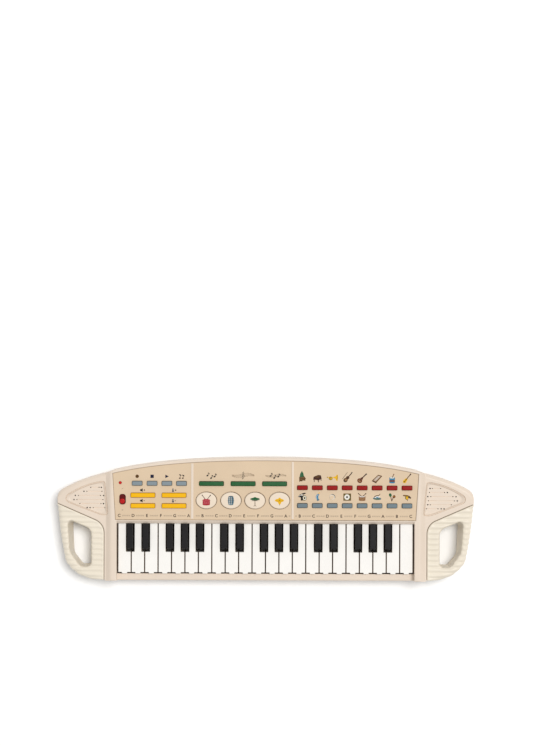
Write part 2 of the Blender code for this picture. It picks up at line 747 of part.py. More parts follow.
def make_control_board():
    half_x, front_y, back_y, low_z, top_z = CONTROL_BOARD
    board = box("control_circuit_board", (-half_x, half_x), (front_y, back_y), (low_z, top_z))
    lamp = turned("lamp", [(0, top_z - 0.0005), (LAMP_RADIUS, top_z - 0.0005),
                           (LAMP_RADIUS, PANEL_TOP_Z), (LAMP_RADIUS * 0.7, PANEL_TOP_Z + 0.0008),
                           (0, PANEL_TOP_Z + 0.0011)], LAMP_CENTRE, 12)
    x, y = KNOB_SLOT_CENTRE
    switch = box("switch", (x - 0.0045, x + 0.0045), (y - 0.0065, y + 0.0065),
                 (low_z + 0.0005, COMB_Z[0] - 0.0001))
    union(board, lamp, switch)
    finish_piece(board, "board", round_angle=30)


def make_contact_board():
    half_x, front_y, back_y, low_z, top_z = CONTACT_BOARD
    board = box("key_contact_board", (-half_x, half_x), (front_y, back_y), (low_z, top_z))
    finish_piece(board, "board")


def make_contact_rubber():
    """Rubber strip with one dome under each key's plunger."""
    low_z = CONTACT_BOARD[4] + GAP
    top_z = low_z + 0.0012
    strip = box("key_contact_rubber", (-0.1760, 0.1760),
                (PLUNGER_Y - 0.0055, PLUNGER_Y + 0.0055), (low_z, top_z))
    domes = []
    for x in key_centres():
        centre = (x, PLUNGER_Y)
        domes.append((ellipse(centre, (0.0064, 0.0064), 6), ellipse(centre, (0.0040, 0.0040), 6)))
    union(strip, tapers("domes", domes, top_z - 0.0005, top_z + 0.0026))
    finish_piece(strip, "rubber", round_angle=30)


def make_speaker(name, side):
    centre = (side * SPEAKER_CENTRE[0], SPEAKER_CENTRE[1])
    r = SPEAKER_RADIUS
    profile = [(0, 0.0120), (0.55 * r, 0.0120), (0.55 * r, 0.0190), (0.70 * r, 0.0200),
               (0.93 * r, 0.0280), (r, 0.0280), (r, 0.0296), (0.90 * r, 0.0298),
               (0.35 * r, 0.0235), (0.20 * r, 0.0248), (0, 0.0252)]
    finish_piece(turned(name, profile, centre, 24), "speaker", round_angle=35)


def make_battery_contacts():
    """Strip across the end of the battery bay with a blunt spring cone for each cell."""
    wall_x = -BATTERY_BAY[0] + GAP
    middle_y = (BATTERY_BAY[1] + BATTERY_BAY[2]) / 2
    strip = box("battery_contact_strip", (wall_x, wall_x + 0.0006),
                (middle_y - 0.0135, middle_y + 0.0135), (0.0065, 0.0175))
    spring = turned("spring", [(0, -0.0003), (0.0040, -0.0003), (0.0022, 0.0040), (0, 0.0040)],
                    (0, 0), 10)
    spring.data.transform(Matrix.Rotation(math.radians(90), 4, "Y"))
    spring.data.transform(Matrix.Translation((wall_x + 0.0006, middle_y - 0.0075, 0.0120)))
    union(strip, spring)
    finish_piece(strip, "metal", round_angle=35)


def clear_scene():
    for thing in list(bpy.data.objects):
        bpy.data.objects.remove(thing, do_unlink=True)


def main():
    clear_scene()
    make_top_case()
    make_bottom_case()
    make_battery_door()
    make_handle("left_handle", -1)
    make_handle("right_handle", 1)
    make_control_panel()
    for name, (look, size, centres) in BUTTONS.items():
        make_button_comb(name, look, size, centres)
    for number, centre in enumerate(PAD_CENTRES, 1):
        make_drum_pad(number, centre)
    make_power_switch_knob()
    make_keys()
    make_pivot_rail()
    make_control_board()
    make_contact_board()
    make_contact_rubber()
    make_speaker("left_speaker", -1)
    make_speaker("right_speaker", 1)
    make_battery_contacts()


main()
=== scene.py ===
"""Looks of the toy electronic keyboard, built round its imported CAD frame.

Metres, in the frame's own axes: +X runs to the treble end, +Y to the back and +Z up, with the
origin on the table under the middle of the instrument. Printed pictures are drawn in
millimetres round their own middles.
"""

import itertools
import math

import bmesh
import bpy
from mathutils import Matrix, Vector


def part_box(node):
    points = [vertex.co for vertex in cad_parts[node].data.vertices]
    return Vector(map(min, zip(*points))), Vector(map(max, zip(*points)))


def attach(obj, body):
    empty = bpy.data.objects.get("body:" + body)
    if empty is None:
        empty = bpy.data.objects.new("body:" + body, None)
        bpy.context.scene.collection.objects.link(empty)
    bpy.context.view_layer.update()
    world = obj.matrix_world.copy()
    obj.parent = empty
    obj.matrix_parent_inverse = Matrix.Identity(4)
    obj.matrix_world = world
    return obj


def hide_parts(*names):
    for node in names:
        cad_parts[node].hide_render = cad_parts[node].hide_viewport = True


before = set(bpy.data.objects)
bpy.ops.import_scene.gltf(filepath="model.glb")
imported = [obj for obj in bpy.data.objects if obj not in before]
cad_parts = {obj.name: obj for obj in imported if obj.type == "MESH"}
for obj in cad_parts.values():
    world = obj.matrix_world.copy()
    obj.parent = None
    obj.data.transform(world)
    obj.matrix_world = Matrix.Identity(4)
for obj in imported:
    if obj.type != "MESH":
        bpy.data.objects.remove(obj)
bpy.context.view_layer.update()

# Case outline, as in the CAD part
BACK_Y = 0.0745
FRONT_Y = -0.0745
BACK_BEND = 0.28
BACK_CURL = 5.3
DECK_END_X = 0.1836
SEAM_X = 0.1944
SEAM_CORNER_Y = -0.0056
SEAM_END = (0.2510, 0.0190)
SEAM_RADIUS = 0.0175
WING_START = (0.1905, 0.0558)
FOOT_HEIGHT = 0.002
FLOOR_TOP = 0.0042
SPLIT_Z = 0.017
WING_Z = 0.033
DECK_Z = 0.037
RAIL_TOP_Z = 0.0265
WALL = 0.0022
GAP = 0.0003                # between parts of the case
SEAM_GAP = 0.00045          # between a handle and the case
MERGE = 0.001               # how far solids that are joined reach into each other
FAR = 0.3                   # beyond every side of the case
WING_OVERLAP_X = 0.1815     # a wing's solid starts this far in, under the deck
KEYBED_X = 0.1794
KEYBED_FRONT_Y = -0.0664
KEYBED_LOW_Z = 0.0180
RAIL_WALL = 0.0015
CHEEK_WALL = 0.0020
CHEEK_END_Y = -0.0001
FALLBOARD_Y = -0.0052
PANEL_FRONT_Y = -0.0010
FRONT_STEP = 0.0005         # the wings stop this far behind the case's front

# Rounded edges and small forms of the mouldings
DECK_ROUND = 0.0022
DECK_FOOT = ((0.1932, 0.0329), (0.1926, 0.0330), (0.1915, 0.0336))
DECK_CREST = ((0.1884, 0.0358), (0.1866, DECK_Z), (0.1848, DECK_Z))
WING_ROUND = 0.0050
SEAM_ROUND = 0.0009
RAIL_ROUND = 0.0018
CHEEK_ROUND = 0.0010
CASE_BOTTOM_ROUND = 0.0030
DISH_DEPTH = 0.0018
DISH_SLOPE = 0.0030
DISH_FLOOR = 0.0011
DISH_CENTRE = (0.2105, 0.0255)
DISH_REACH = 0.0185         # typical distance from a dish's centre to its rim
DISH_RIM = ((0.0014, -0.0003), (0.0012, -0.0005), (0.0010, -0.0016), (0.0003, -0.0016),
            (0.0001, -0.0003), (-0.0003, 0.0002), (-0.0008, 0.0040))    # drawn in, rise
GRILLE_ROWS = ((0.0378, 0.2004, 0.2120, (0.1984,)), (0.0330, 0.1969, 0.2167, (0.2193,)),
               (0.0280, 0.1986, 0.2268, (0.1957, 0.2298)), (0.0229, 0.1957, 0.2286, (0.2313,)),
               (0.0182, 0.1980, 0.2250, (0.1957,)), (0.0133, 0.1935, 0.2088, (0.2119, 0.2154)))
GRILLE_SLOT = 0.0010
GRILLE_SLOT_DEPTH = 0.00095
GRILLE_DOT = 0.0009         # radius of the round holes beside the slots
GRILLE_TIP = (0.0008, 0.00063)      # hole in a slot's tip: distance from its end, radius
HANDLE_ROUND = 0.0062
HANDLE_SEAM_ROUND = 0.0012
HOLE_ROUND = 0.0032
RIB_START_Y = -0.0705
RIB_PITCH = 0.0065
RIB_DEPTH = 0.00135
HAND_HOLE = ((0.2388, -0.0007, 0.0040), (0.2104, -0.0127, 0.0100), (0.2104, -0.0580, 0.0050),
             (0.2232, -0.0577, 0.0062), (0.2360, -0.0400, 0.0140))
HAND_HOLE_FOOT = ((0.2346, -0.0027, 0.0036), (0.2104, -0.0129, 0.0100),
                  (0.2104, -0.0562, 0.0045), (0.2218, -0.0562, 0.0050), (0.2326, -0.0425, 0.0120))
VOXEL = 0.0008              # of the grips' skin, on which the ribs are pressed

# Keys
WHITE_KEYS = 22
BLACK_KEYS = 15
KEY_WALL = 0.0015
WHITE_LOW_Z = 0.0200
BLACK_LOW_Z = 0.0220
WHITE_REAR_Y = -0.0020
BLACK_REAR_Y = -0.0056
NOTCH_Y = -0.0398
NOTCH_CLEARANCE = 0.0002
TONGUE_HALF = 0.0031        # half the width of the tongue at a white key's front
TONGUE_LENGTH = 0.0016
BLACK_TRIM = 0.0004         # black keys are this much slimmer than the CAD's, each side
ARM_HALF = 0.0025           # half the width of the arm a key turns on
ARM_TOP_Z = 0.0284
PIVOT_Y = 0.0250
PIVOT_Z = 0.0240
KNUCKLE_RADIUS = 0.0024
ARM_STEP = 0.0022           # the arm starts this far in front of the shell's rear
PLUNGER_HALF = 0.0015
PLUNGER_Y = -0.0150

# Panel and controls
COMBS = {"transport_buttons": "blue_grey", "volume_tempo_buttons": "yellow",
         "melody_buttons": "green", "instrument_buttons": "red", "rhythm_buttons": "dusk_blue"}
PANEL_TOP_Z = 0.0362
PANEL_LOW_Z = 0.0342
FLANGE_LOW_Z = 0.0332
PANEL_BORDER = 0.0036
PANEL_FRONT_X = 0.1810
PANEL_BACK_X = 0.1845
PANEL_RIBS = ((-0.0902, -0.0866), (0.0310, 0.0342))
RIB_TOP_Z = 0.03695
CAP_TRIM = 0.0003           # a cap and its hole are this much finer than the CAD's
CAP_GAP = 0.0004
PAD_RING = 0.0007
PAD_DROP = 0.0004           # how far a pad's rim lies below the tallest caps
PAD_CROWN = ((0.0030, 0.00004), (0.0060, 0.00007), (0.0088, 0.00008))   # drawn in, rise
KNOB_RING = 0.0008          # a knob is this much finer than the CAD's, all round
CAP_SHADE_BORDER = 0.0013           # width of the painted shade along the border of the button caps
PRINT_HEIGHT = 0.00004
PRINT_STEP = 0.000008       # each shape of a picture lies this much above the one before
PRINT_DEPTH = 0.0001        # how far prints reach into what they are printed on
KNOB_SLOT = (0.0078, 0.0126)
KNOB_SLOT_CENTRE = (-0.1724, 0.0239)
LAMP_CENTRE = (-0.1752, 0.0438)
LAMP_RADIUS = 0.0015
LAMP_LOW_Z = 0.0304
PICTURE_X0 = 0.0442         # pictures over the rows of instrument and rhythm caps
PICTURE_PITCH = 0.0180
LETTER_Y = 0.0042
LETTER_X0 = -0.1763
LETTER_PITCH = 0.01672
LETTER_SIZE = 0.0050
RULE_START = 0.0034         # from a letter's middle to the first dash of the rule beside it
RULE_DASH = 0.0022
RULE_PITCH = 0.0026
RULE_WIDTH = 0.00045
RULE_LEVELS = (-0.0006, 0.0003)

# Underside
FEET = [(x, y) for x in (-0.165, 0.165) for y in (-0.058, 0.042)]
FOOT_RADIUS = 0.007
SCREWS = [(x, y) for x in (-0.150, -0.050, 0.050, 0.150) for y in (-0.045,)]
SCREWS += [(-0.185, 0.0), (0.185, 0.0), (-0.136, 0.0500), (0.136, 0.0500)]
SCREW_Z = 0.0062
SCREW_HEAD = ((0, 0), (0.0012, 0.0001), (0.0021, 0.0005), (0.0024, 0.0010), (0.0024, 0.0016),
              (0.0013, 0.0018), (0.0013, 0.0030), (0, 0.0030))      # radius, height
SCREW_CROSS = (0.0013, 0.0003)      # half the length and half the width of an arm
SCREW_WELL_RADIUS = 0.0029
SCREW_BOSS_RADIUS = 0.0046
SCREW_BOSS_TOP_Z = 0.0130
WELL_TOP_Z = 0.0100
BAY = ((-0.0582, 0.0582), (0.0308, 0.0662), 0.0215)         # x, y and top of the battery bay
BAY_SPACE = ((-0.0560, 0.0560), (0.0325, 0.0640), 0.0200)
DOOR_TONGUE = 0.0020        # width of the tongues along the battery door's sides
TONGUE_Z = FOOT_HEIGHT + 0.0012
DOOR_FRAME = 0.0035         # width of the raised frame round the battery door
DOOR_RIDGES = 7
RIDGE_START = 0.0130        # from the door's front edge to the first finger ridge
RIDGE_PITCH = 0.0020
VENT_ROWS = 5
VENT_START = (0.2100, 0.0150)
VENT_PITCH = 0.0050
VENT_HALF = 0.0008

# Camera straight above, as far off as for a small catalogue picture
CAMERA_PLACE = (0.0005, 0.1765, 2.3)
CAMERA_TURN = 0.2           # degrees
KEYS_TOP_Z = 0.034
HALF_VIEW = 0.4496          # half of what the picture's longer side shows at the keys' height
HALF_SENSOR = 18            # millimetres
TABLE_HALF = 12

# Light that reaches an upward face, and the white sheen that plastic adds to its colour
DAYLIGHT = 1.08
SHEEN = 0.022


# ---------------------------------------------------------------- outlines

def quadratic(start, control, end, count):
    """Points along a quadratic curve, both ends included."""
    points = []
    for step in range(count + 1):
        t = step / count
        weights = ((1 - t) ** 2, 2 * t * (1 - t), t * t)
        points.append(tuple(sum(w * p[axis] for w, p in zip(weights, (start, control, end)))
                            for axis in (0, 1)))
    return points


def fillet(before, corner, after, radius, count):
    """Arc that rounds one corner of a polygon."""
    middle = Vector(corner)
    back = (Vector(before) - middle).normalized()
    ahead = (Vector(after) - middle).normalized()
    half = back.angle(ahead) / 2
    centre = middle + (back + ahead).normalized() * radius / math.sin(half)
    start = middle + back * radius / math.tan(half) - centre
    turn = math.pi - 2 * half
    if back.cross(ahead) > 0:
        turn = -turn
    return [tuple(centre + Matrix.Rotation(turn * step / count, 2) @ start)
            for step in range(count + 1)]


def rounded(corners, count):
    """Polygon through (x, y, radius) corners, each one rounded."""
    points = []
    for index, (x, y, radius) in enumerate(corners):
        after = corners[(index + 1) % len(corners)]
        points += fillet(corners[index - 1][:2], (x, y), after[:2], radius, count)
    return points


def rounded_box(low, high, radius, count=4):
    corners = [(low[0], low[1]), (high[0], low[1]), (high[0], high[1]), (low[0], high[1])]
    return rounded([(x, y, radius) for x, y in corners], count)


def ellipse(centre, size, count):
    angles = [2 * math.pi * step / count for step in range(count)]
    return [(centre[0] + size[0] / 2 * math.cos(a), centre[1] + size[1] / 2 * math.sin(a))
            for a in angles]


def circle(centre, radius, count=24):
    return ellipse(centre, (2 * radius, 2 * radius), count)


def spread(value, count):
    """One value for each point, from one number or from a list that already is."""
    return value if isinstance(value, list) else [value] * count


def inset(points, distance):
    """Polygon drawn in by a distance, or by a list with a distance for each point."""
    moved = []
    for index, (point, step) in enumerate(zip(points, spread(distance, len(points)))):
        here = Vector(point)
        before = (here - Vector(points[index - 1])).normalized()
        after = (Vector(points[(index + 1) % len(points)]) - here).normalized()
        mitre = Vector((-before.y - after.y, before.x + after.x))
        moved.append(tuple(here + mitre * (2 * step / mitre.length_squared)))
    return moved


def rectangle(x0, x1, y0, y1):
    return [(x0, y0), (x1, y0), (x1, y1), (x0, y1)]


def quarter(steps):
    """(inward, down) shares of a rounded edge's radius, from the edge's side to its top."""
    turns = [math.pi / 2 * step / steps for step in range(steps + 1)]
    return [(1 - math.cos(turn), 1 - math.sin(turn)) for turn in turns]


def grown_box(low, high, margin, radius, count=4):
    """Rounded rectangle that lies outside two corners by a margin."""
    return rounded_box((low[0] - margin, low[1] - margin), (high[0] + margin, high[1] + margin),
                       radius, count)


def mirrored(half):
    """Whole outline from its right half, which runs from front to back."""
    return half + [(-x, y) for x, y in reversed(half) if x > 0]


def flipped(points):
    """The same outline on the other side of the middle, still anticlockwise."""
    return [(-x, y) for x, y in reversed(points)]


def back_edge(x):
    return BACK_Y - BACK_BEND * x ** 2 - BACK_CURL * x ** 4


def back_arc(start_x, drop, count=24):
    """Points along the back edge from start_x to the middle, moved forward by drop."""
    steps = [start_x * (count - step) / count for step in range(count + 1)]
    return [(x, back_edge(x) - drop) for x in steps]


def seam():
    """Right-hand seam between the case and the handle, from the front to the side."""
    corner = (SEAM_X, SEAM_CORNER_Y)
    front = (SEAM_X, FRONT_Y + FRONT_STEP)
    return [front] + fillet(front, corner, SEAM_END, SEAM_RADIUS, 10) + [SEAM_END]


def shoulder():
    """Right-hand wing's edge, from the seam round the corner to the raised deck."""
    side = quadratic((0.2513, 0.0250), (0.2515, 0.0328), (0.2440, 0.0368), 9)
    slope = quadratic((0.2440, 0.0368), (0.2206, 0.0492), WING_START, 9)
    return side + slope[1:]


def wing_outline():
    """Right-hand wing with the part of it that lies under the deck."""
    front, back = (WING_OVERLAP_X, FRONT_Y + FRONT_STEP), (WING_OVERLAP_X, 0.0550)
    return [front] + seam() + shoulder() + [back]


def case_outline():
    deck = back_arc(DECK_END_X, 0)
    return mirrored(seam() + shoulder() + [(DECK_END_X + 0.0042, 0.0564)] + deck)


def deck_outline(side_x, drop):
    """Outline of the raised deck, narrowing as it rises."""
    side = [(side_x, FRONT_Y + drop), (side_x, back_edge(side_x) - drop - 0.0012)]
    return mirrored(side + back_arc(DECK_END_X - drop, drop))


def handle_outline():
    line = [(x + SEAM_GAP, y - SEAM_GAP) for x, y in seam()]
    side = quadratic(line[-1], (0.2492, -0.0150), (0.2416, -0.0513), 12)
    corner = quadratic((0.2416, -0.0513), (0.2300, -0.0705), (0.2078, -0.0735), 12)
    front = (line[0][0], -0.0738)
    return [front] + corner[::-1] + side[::-1][1:] + line[::-1][1:-1]


def panel_outline(clearance):
    """Outline of the tan control panel, drawn in by clearance."""
    half = [(PANEL_FRONT_X - clearance, PANEL_FRONT_Y + clearance)]
    half += back_arc(PANEL_BACK_X - clearance, PANEL_BORDER + clearance)
    return mirrored(half)


def dish_outline():
    """Right-hand speaker's shallow dish, a triangle with soft corners."""
    upper = quadratic((0.2382, 0.0301), (0.2190, 0.0425), (0.1985, 0.0455), 10)
    inner_back = quadratic((0.1985, 0.0455), (0.1936, 0.0462), (0.1934, 0.0420), 5)
    inner_front = quadratic((0.1903, 0.0085), (0.1900, 0.0020), (0.2020, 0.0055), 7)
    tip = quadratic((0.2382, 0.0194), (0.2448, 0.0246), (0.2382, 0.0301), 7)
    return tip[:-1] + upper[:-1] + inner_back + inner_front


# ---------------------------------------------------------------- meshes

def put(name, data):
    """New object in the scene."""
    thing = bpy.data.objects.new(name, data)
    bpy.context.scene.collection.objects.link(thing)
    return thing


def new_object(name, mesh_builder):
    """Scene object whose mesh is what mesh_builder leaves in a bmesh."""
    build = bmesh.new()
    mesh_builder(build)
    bmesh.ops.recalc_face_normals(build, faces=build.faces)
    mesh = bpy.data.meshes.new(name)
    build.to_mesh(mesh)
    build.free()
    return put(name, mesh)


def bridge(build, lower, upper):
    count = len(lower)
    for index in range(count):
        after = (index + 1) % count
        build.faces.new((lower[index], lower[after], upper[after], upper[index]))


def at_height(outline, z):
    return [(x, y, z) for x, y in outline]


def stacked(outline, *steps):
    """Rings of one outline, from how far each is drawn in and how high it lies."""
    return [at_height(inset(outline, drawn_in), z) for drawn_in, z in steps]


def add_loft(build, layers):
    """Closed solid through rings of (x, y, z) points that all have the same count."""
    rings = [[build.verts.new(point) for point in layer] for layer in layers]
    build.faces.new(rings[0][::-1])
    build.faces.new(rings[-1])
    for lower, upper in zip(rings, rings[1:]):
        bridge(build, lower, upper)


def loft(name, *solids):
    """One mesh of one or more lofted solids, each a list of rings."""
    def make(build):
        for layers in solids:
            add_loft(build, layers)
    return new_object(name, make)


def edge_rings(outline, z, radius, steps, side):
    """Rings of a rounded edge that ends at height z: side is 1 for a top edge, -1 below."""
    radii = spread(radius, len(outline))
    rings = []
    for inward, down in quarter(steps):
        moved = inset(outline, [r * inward for r in radii])
        rings.append([(x, y, z - side * r * down) for (x, y), r in zip(moved, radii)])
    return rings if side > 0 else rings[::-1]


def slab_rings(outline, low, high, top=0, bottom=0, steps=4):
    """Rings of a flat solid with rounded edges."""
    lower = edge_rings(outline, low, bottom, steps, -1) if bottom else [at_height(outline, low)]
    upper = edge_rings(outline, high, top, steps, 1) if top else [at_height(outline, high)]
    return lower + upper


def slab(name, outline, low, high, top=0, bottom=0, steps=4):
    return loft(name, slab_rings(outline, low, high, top, bottom, steps))


def slabs(name, outlines, low, high, top=0, bottom=0, steps=4):
    return loft(name, *[slab_rings(o, low, high, top, bottom, steps) for o in outlines])


def box(name, x, y, z):
    return slab(name, rectangle(x[0], x[1], y[0], y[1]), z[0], z[1])


def flared_rings(outline, low, high, flare):
    """Rings of a cutter that opens out by flare at its top, to break the edge it leaves."""
    return stacked(outline, (0, low), (0, high - flare), (-0.35 * flare, high - 0.35 * flare),
                   (-flare, high), (-flare, high + 0.01))


def extruded(name, profile, x0, x1):
    """Profile of (y, z) points carried along X."""
    return loft(name, [[(x0, y, z) for y, z in profile], [(x1, y, z) for y, z in profile]])


def add_turned(build, profile, centre, count):
    """Solid of revolution about an upright axis, from an (r, z) profile that ends on it."""
    rings = [[build.verts.new((x, y, z)) for x, y in circle(centre, r, count)]
             for r, z in profile[1:-1]]
    bottom = build.verts.new((*centre, profile[0][1]))
    top = build.verts.new((*centre, profile[-1][1]))
    for lower, upper in zip(rings, rings[1:]):
        bridge(build, lower, upper)
    for index in range(count):
        after = (index + 1) % count
        build.faces.new((bottom, rings[0][after], rings[0][index]))
        build.faces.new((top, rings[-1][index], rings[-1][after]))


def turned(name, profile, centres, count=24):
    def make(build):
        for centre in centres:
            add_turned(build, profile, centre, count)
    return new_object(name, make)


def evaluated_mesh(thing):
    graph = bpy.context.evaluated_depsgraph_get()
    return bpy.data.meshes.new_from_object(thing.evaluated_get(graph))


def bake_modifiers(thing):
    """Replace an object's mesh by what its modifiers make of it."""
    result = evaluated_mesh(thing)
    thing.modifiers.clear()
    spent = thing.data
    thing.data = result
    bpy.data.meshes.remove(spent)


def combine(target, tools, operation):
    """Apply Booleans to target and remove the tools."""
    for tool in tools:
        step = target.modifiers.new(operation, "BOOLEAN")
        step.operation = operation
        step.object = tool
        bake_modifiers(target)
        spent = tool.data
        bpy.data.objects.remove(tool)
        bpy.data.meshes.remove(spent)
    return target


def union(target, *tools):
    return combine(target, tools, "UNION")


def cut(target, *tools):
    return combine(target, tools, "DIFFERENCE")


def finish_piece(thing, look, body, replaced=(), angle=35):
    """Material, shading, the body it rides on and the CAD nodes it stands for."""
    thing.data.name = thing.name
    if len(thing.data.materials):       # to clear them also resets the faces' choices of ink
        thing.data.materials.clear()
    for each in look if isinstance(look, list) else [look]:
        thing.data.materials.append(each)
    thing.data.shade_smooth()
    thing.data.set_sharp_from_angle(angle=math.radians(angle))
    flat = thing.modifiers.new("even_shading", "WEIGHTED_NORMAL")
    flat.keep_sharp = True
    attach(thing, body)
    if replaced:
        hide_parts(*replaced)
    return thing


def flat_tops(node):
    """(low, high) corners of each separate flat top that stands highest on a CAD node."""
    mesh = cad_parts[node].data
    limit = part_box(node)[1].z - 1e-5
    islands = []
    for polygon in mesh.polygons:
        corners = {tuple(round(c, 6) for c in mesh.vertices[i].co) for i in polygon.vertices}
        if min(z for _, _, z in corners) < limit:
            continue
        for island in [known for known in islands if known & corners]:
            corners |= island
            islands.remove(island)
        islands.append(corners)
    boxes = []
    for island in islands:
        xs, ys, _ = zip(*island)
        boxes.append(((min(xs), min(ys)), (max(xs), max(ys))))
    return sorted(boxes, key=lambda corners: (-round(corners[0][1], 4), corners[0][0]))


# ---------------------------------------------------------------- materials

def srgb(red, green, blue):
    """Linear reflectance that shows as this 0-255 colour on an upward face in DAYLIGHT."""
    linear = []
    for value in (red, green, blue):
        share = value / 255
        if share > 0.04045:
            share = ((share + 0.055) / 1.055) ** 2.4
        else:
            share /= 12.92
        linear.append(min(max((share - SHEEN) / DAYLIGHT, 0.003), 0.95))
    return (*linear, 1)


def new_material(name):
    made = bpy.data.materials.new(name)
    made.use_nodes = True
    return made, made.node_tree, made.node_tree.nodes["Principled BSDF"]


def connect(tree, socket, value):
    """Link an input to an output, or give it a fixed value."""
    if isinstance(value, bpy.types.NodeSocket):
        tree.links.new(value, socket)
    else:
        socket.default_value = value


def new_node(tree, kind, *in_order, **named):
    """Shader node whose inputs are given in their order or by their names."""
    node = tree.nodes.new("ShaderNode" + kind)
    for socket, value in zip(node.inputs, in_order):
        connect(tree, socket, value)
    for name, value in named.items():
        connect(tree, node.inputs[name.replace("_", " ")], value)
    return node


def noise_field(tree, scale, detail, stretch=None):
    """Noise through object space; stretch scales the axes apart for streaks."""
    place = new_node(tree, "TexCoord").outputs["Object"]
    if stretch:
        place = new_node(tree, "Mapping", Vector=place, Scale=stretch).outputs["Vector"]
    return new_node(tree, "TexNoise", Vector=place, Scale=scale, Detail=detail).outputs["Fac"]


def remap(tree, value, low, high, to_low, to_high):
    return new_node(tree, "MapRange", value, low, high, to_low, to_high).outputs["Result"]


def blend(tree, share, first, second):
    """Mix of two colours, each a socket or a fixed colour."""
    node = new_node(tree, "Mix", share)
    node.data_type = "RGBA"
    sockets = [s for s in node.inputs if s.type == "RGBA"]
    for socket, colour in zip(sockets, (first, second)):
        connect(tree, socket, colour)
    return [s for s in node.outputs if s.type == "RGBA"][0]


def tinted(colour, factor):
    return tuple(min(c * factor, 1.0) for c in colour[:3]) + (1,)


def toned(tree, colour, start, *layers):
    """Colour in several tones: (noise, its low, its high, most cover, brightness) for each."""
    tone = tinted(colour, start)
    for field, low, high, cover, factor in layers:
        tone = blend(tree, remap(tree, field, low, high, 0, cover), tone, tinted(colour, factor))
    return tone


def add_bump(tree, shader, height, distance):
    node = new_node(tree, "Bump", Distance=distance, Height=height)
    previous = shader.inputs["Normal"]
    if previous.is_linked:
        connect(tree, node.inputs["Normal"], previous.links[0].from_socket)
    connect(tree, previous, node.outputs["Normal"])


def facing(tree, axis):
    """How squarely the surface faces along an axis, 0 to 1."""
    normal = new_node(tree, "SeparateXYZ", new_node(tree, "NewGeometry").outputs["Normal"])
    size = new_node(tree, "Math", normal.outputs[axis])
    size.operation = "ABSOLUTE"
    return size.outputs[0]


def painted_edge_light(tree, tone, colour, radius, gain):
    """Tone scaled by gain where the surface turns sharply: a painted highlight along edges when gain
    is above 1, painted shade when it is below.
    """
    soft = new_node(tree, "Bevel", radius)
    soft.samples = 6
    plain = new_node(tree, "NewGeometry")
    turn = new_node(tree, "VectorMath", soft.outputs["Normal"], plain.outputs["Normal"])
    turn.operation = "DOT_PRODUCT"
    share = remap(tree, turn.outputs["Value"], 0.99, 0.86, 0, 1)
    return blend(tree, share, tone, tinted(colour, gain))


def join_up(shader, tree, tone, gloss, polish, *bumps):
    """Connect tone, sheen, roughness as (noise, least, most) and bumps as (noise, depth)."""
    field, least, most = polish
    connect(tree, shader.inputs["Base Color"], tone)
    connect(tree, shader.inputs["Specular IOR Level"], gloss)
    connect(tree, shader.inputs["Roughness"], remap(tree, field, 0.3, 0.7, least, most))
    for height, depth in bumps:
        add_bump(tree, shader, height, depth)


def plastic(name, colour, roughness, mottle=0.035, grain=0.00001, ripple=0, edge=1.12,
            gloss=0.32, edge_paint_width=0.0005):
    """Moulded plastic: faint clouds of tone, fine grain, uneven polish, and painted highlight (edge
    above 1) or painted shade (edge below 1) along its sharp edges.
    """
    made, tree, shader = new_material(name)
    tone = toned(tree, colour, 1 - mottle,
                 (noise_field(tree, 26, 3), 0.3, 0.7, 1, 1 + mottle),
                 (noise_field(tree, 1500, 2), 0.35, 0.75, 1, 1 - 1.5 * mottle),
                 (noise_field(tree, 90, 4, (1, 9, 9)), 0.62, 0.72, 0.05, 1.25))
    bumps = [(noise_field(tree, 2600, 2), grain)]
    if ripple:
        bumps.append((noise_field(tree, 70, 2), ripple))
    polish = (noise_field(tree, 140, 4), roughness - 0.06, roughness + 0.08)
    # sharp edges get painted highlight when edge is above 1 and painted shade when it is below
    join_up(shader, tree, painted_edge_light(tree, tone, colour, edge_paint_width, edge), gloss, polish, *bumps)
    return made


def key_plastic(name, colour, roughness, spread_tone, gloss, edge, shade_axis, sides, side):
    """Glossy key plastic: keys that differ a little, fine playing scratches, painted highlight along
    edges when edge is above 1, and painted shade in the side colour on faces picked by how they face
    an axis.
    """
    made, tree, shader = new_material(name)
    each = new_node(tree, "ObjectInfo").outputs["Random"]
    tone = blend(tree, each, tinted(colour, 1 - spread_tone), tinted(colour, 1 + spread_tone))
    clouds = remap(tree, noise_field(tree, 60, 3), 0.35, 0.7, 0, 0.5)
    tone = blend(tree, clouds, tone, tinted(colour, 0.94))
    # painted highlight along the key edges when edge is above 1
    tone = painted_edge_light(tree, tone, colour, 0.0008, edge)
    # painted shade: faces picked by their facing along the axis take the darker side colour
    tone = blend(tree, remap(tree, facing(tree, shade_axis), *sides, 0, 1), tone, side)
    scratches = noise_field(tree, 300, 3, (14, 1, 14))
    join_up(shader, tree, tone, gloss, (scratches, roughness - 0.05, roughness + 0.09),
            (scratches, 0.000004), (noise_field(tree, 55, 2), 0.00004))
    return made


def matt(name, colour, tones, cover, polish, grain, gloss=0.5):
    """Dull surface in two tones. Cover, polish and grain are each a noise and its values."""
    made, tree, shader = new_material(name)
    tone = toned(tree, colour, tones[0], (noise_field(tree, *cover[:2]), *cover[2:], 1, tones[1]))
    join_up(shader, tree, tone, gloss, (noise_field(tree, *polish[:2]), *polish[2:]),
            (noise_field(tree, *grain[:2]), grain[2]))
    return made


def ink(name, colour):
    """Screen-printed ink: slightly uneven cover and a dull sheen."""
    return matt(name, colour, (0.88, 1.14), (2200, 3, 0.35, 0.7), (900, 2, 0.45, 0.62),
                (3000, 2, 0.000008), 0.2)


def rubber(name, colour):
    """Dull moulded rubber with a dusty bloom."""
    return matt(name, colour, (1, 1.5), (240, 5, 0.4, 0.75), (500, 3, 0.7, 0.9), (1800, 3, 0.00002))


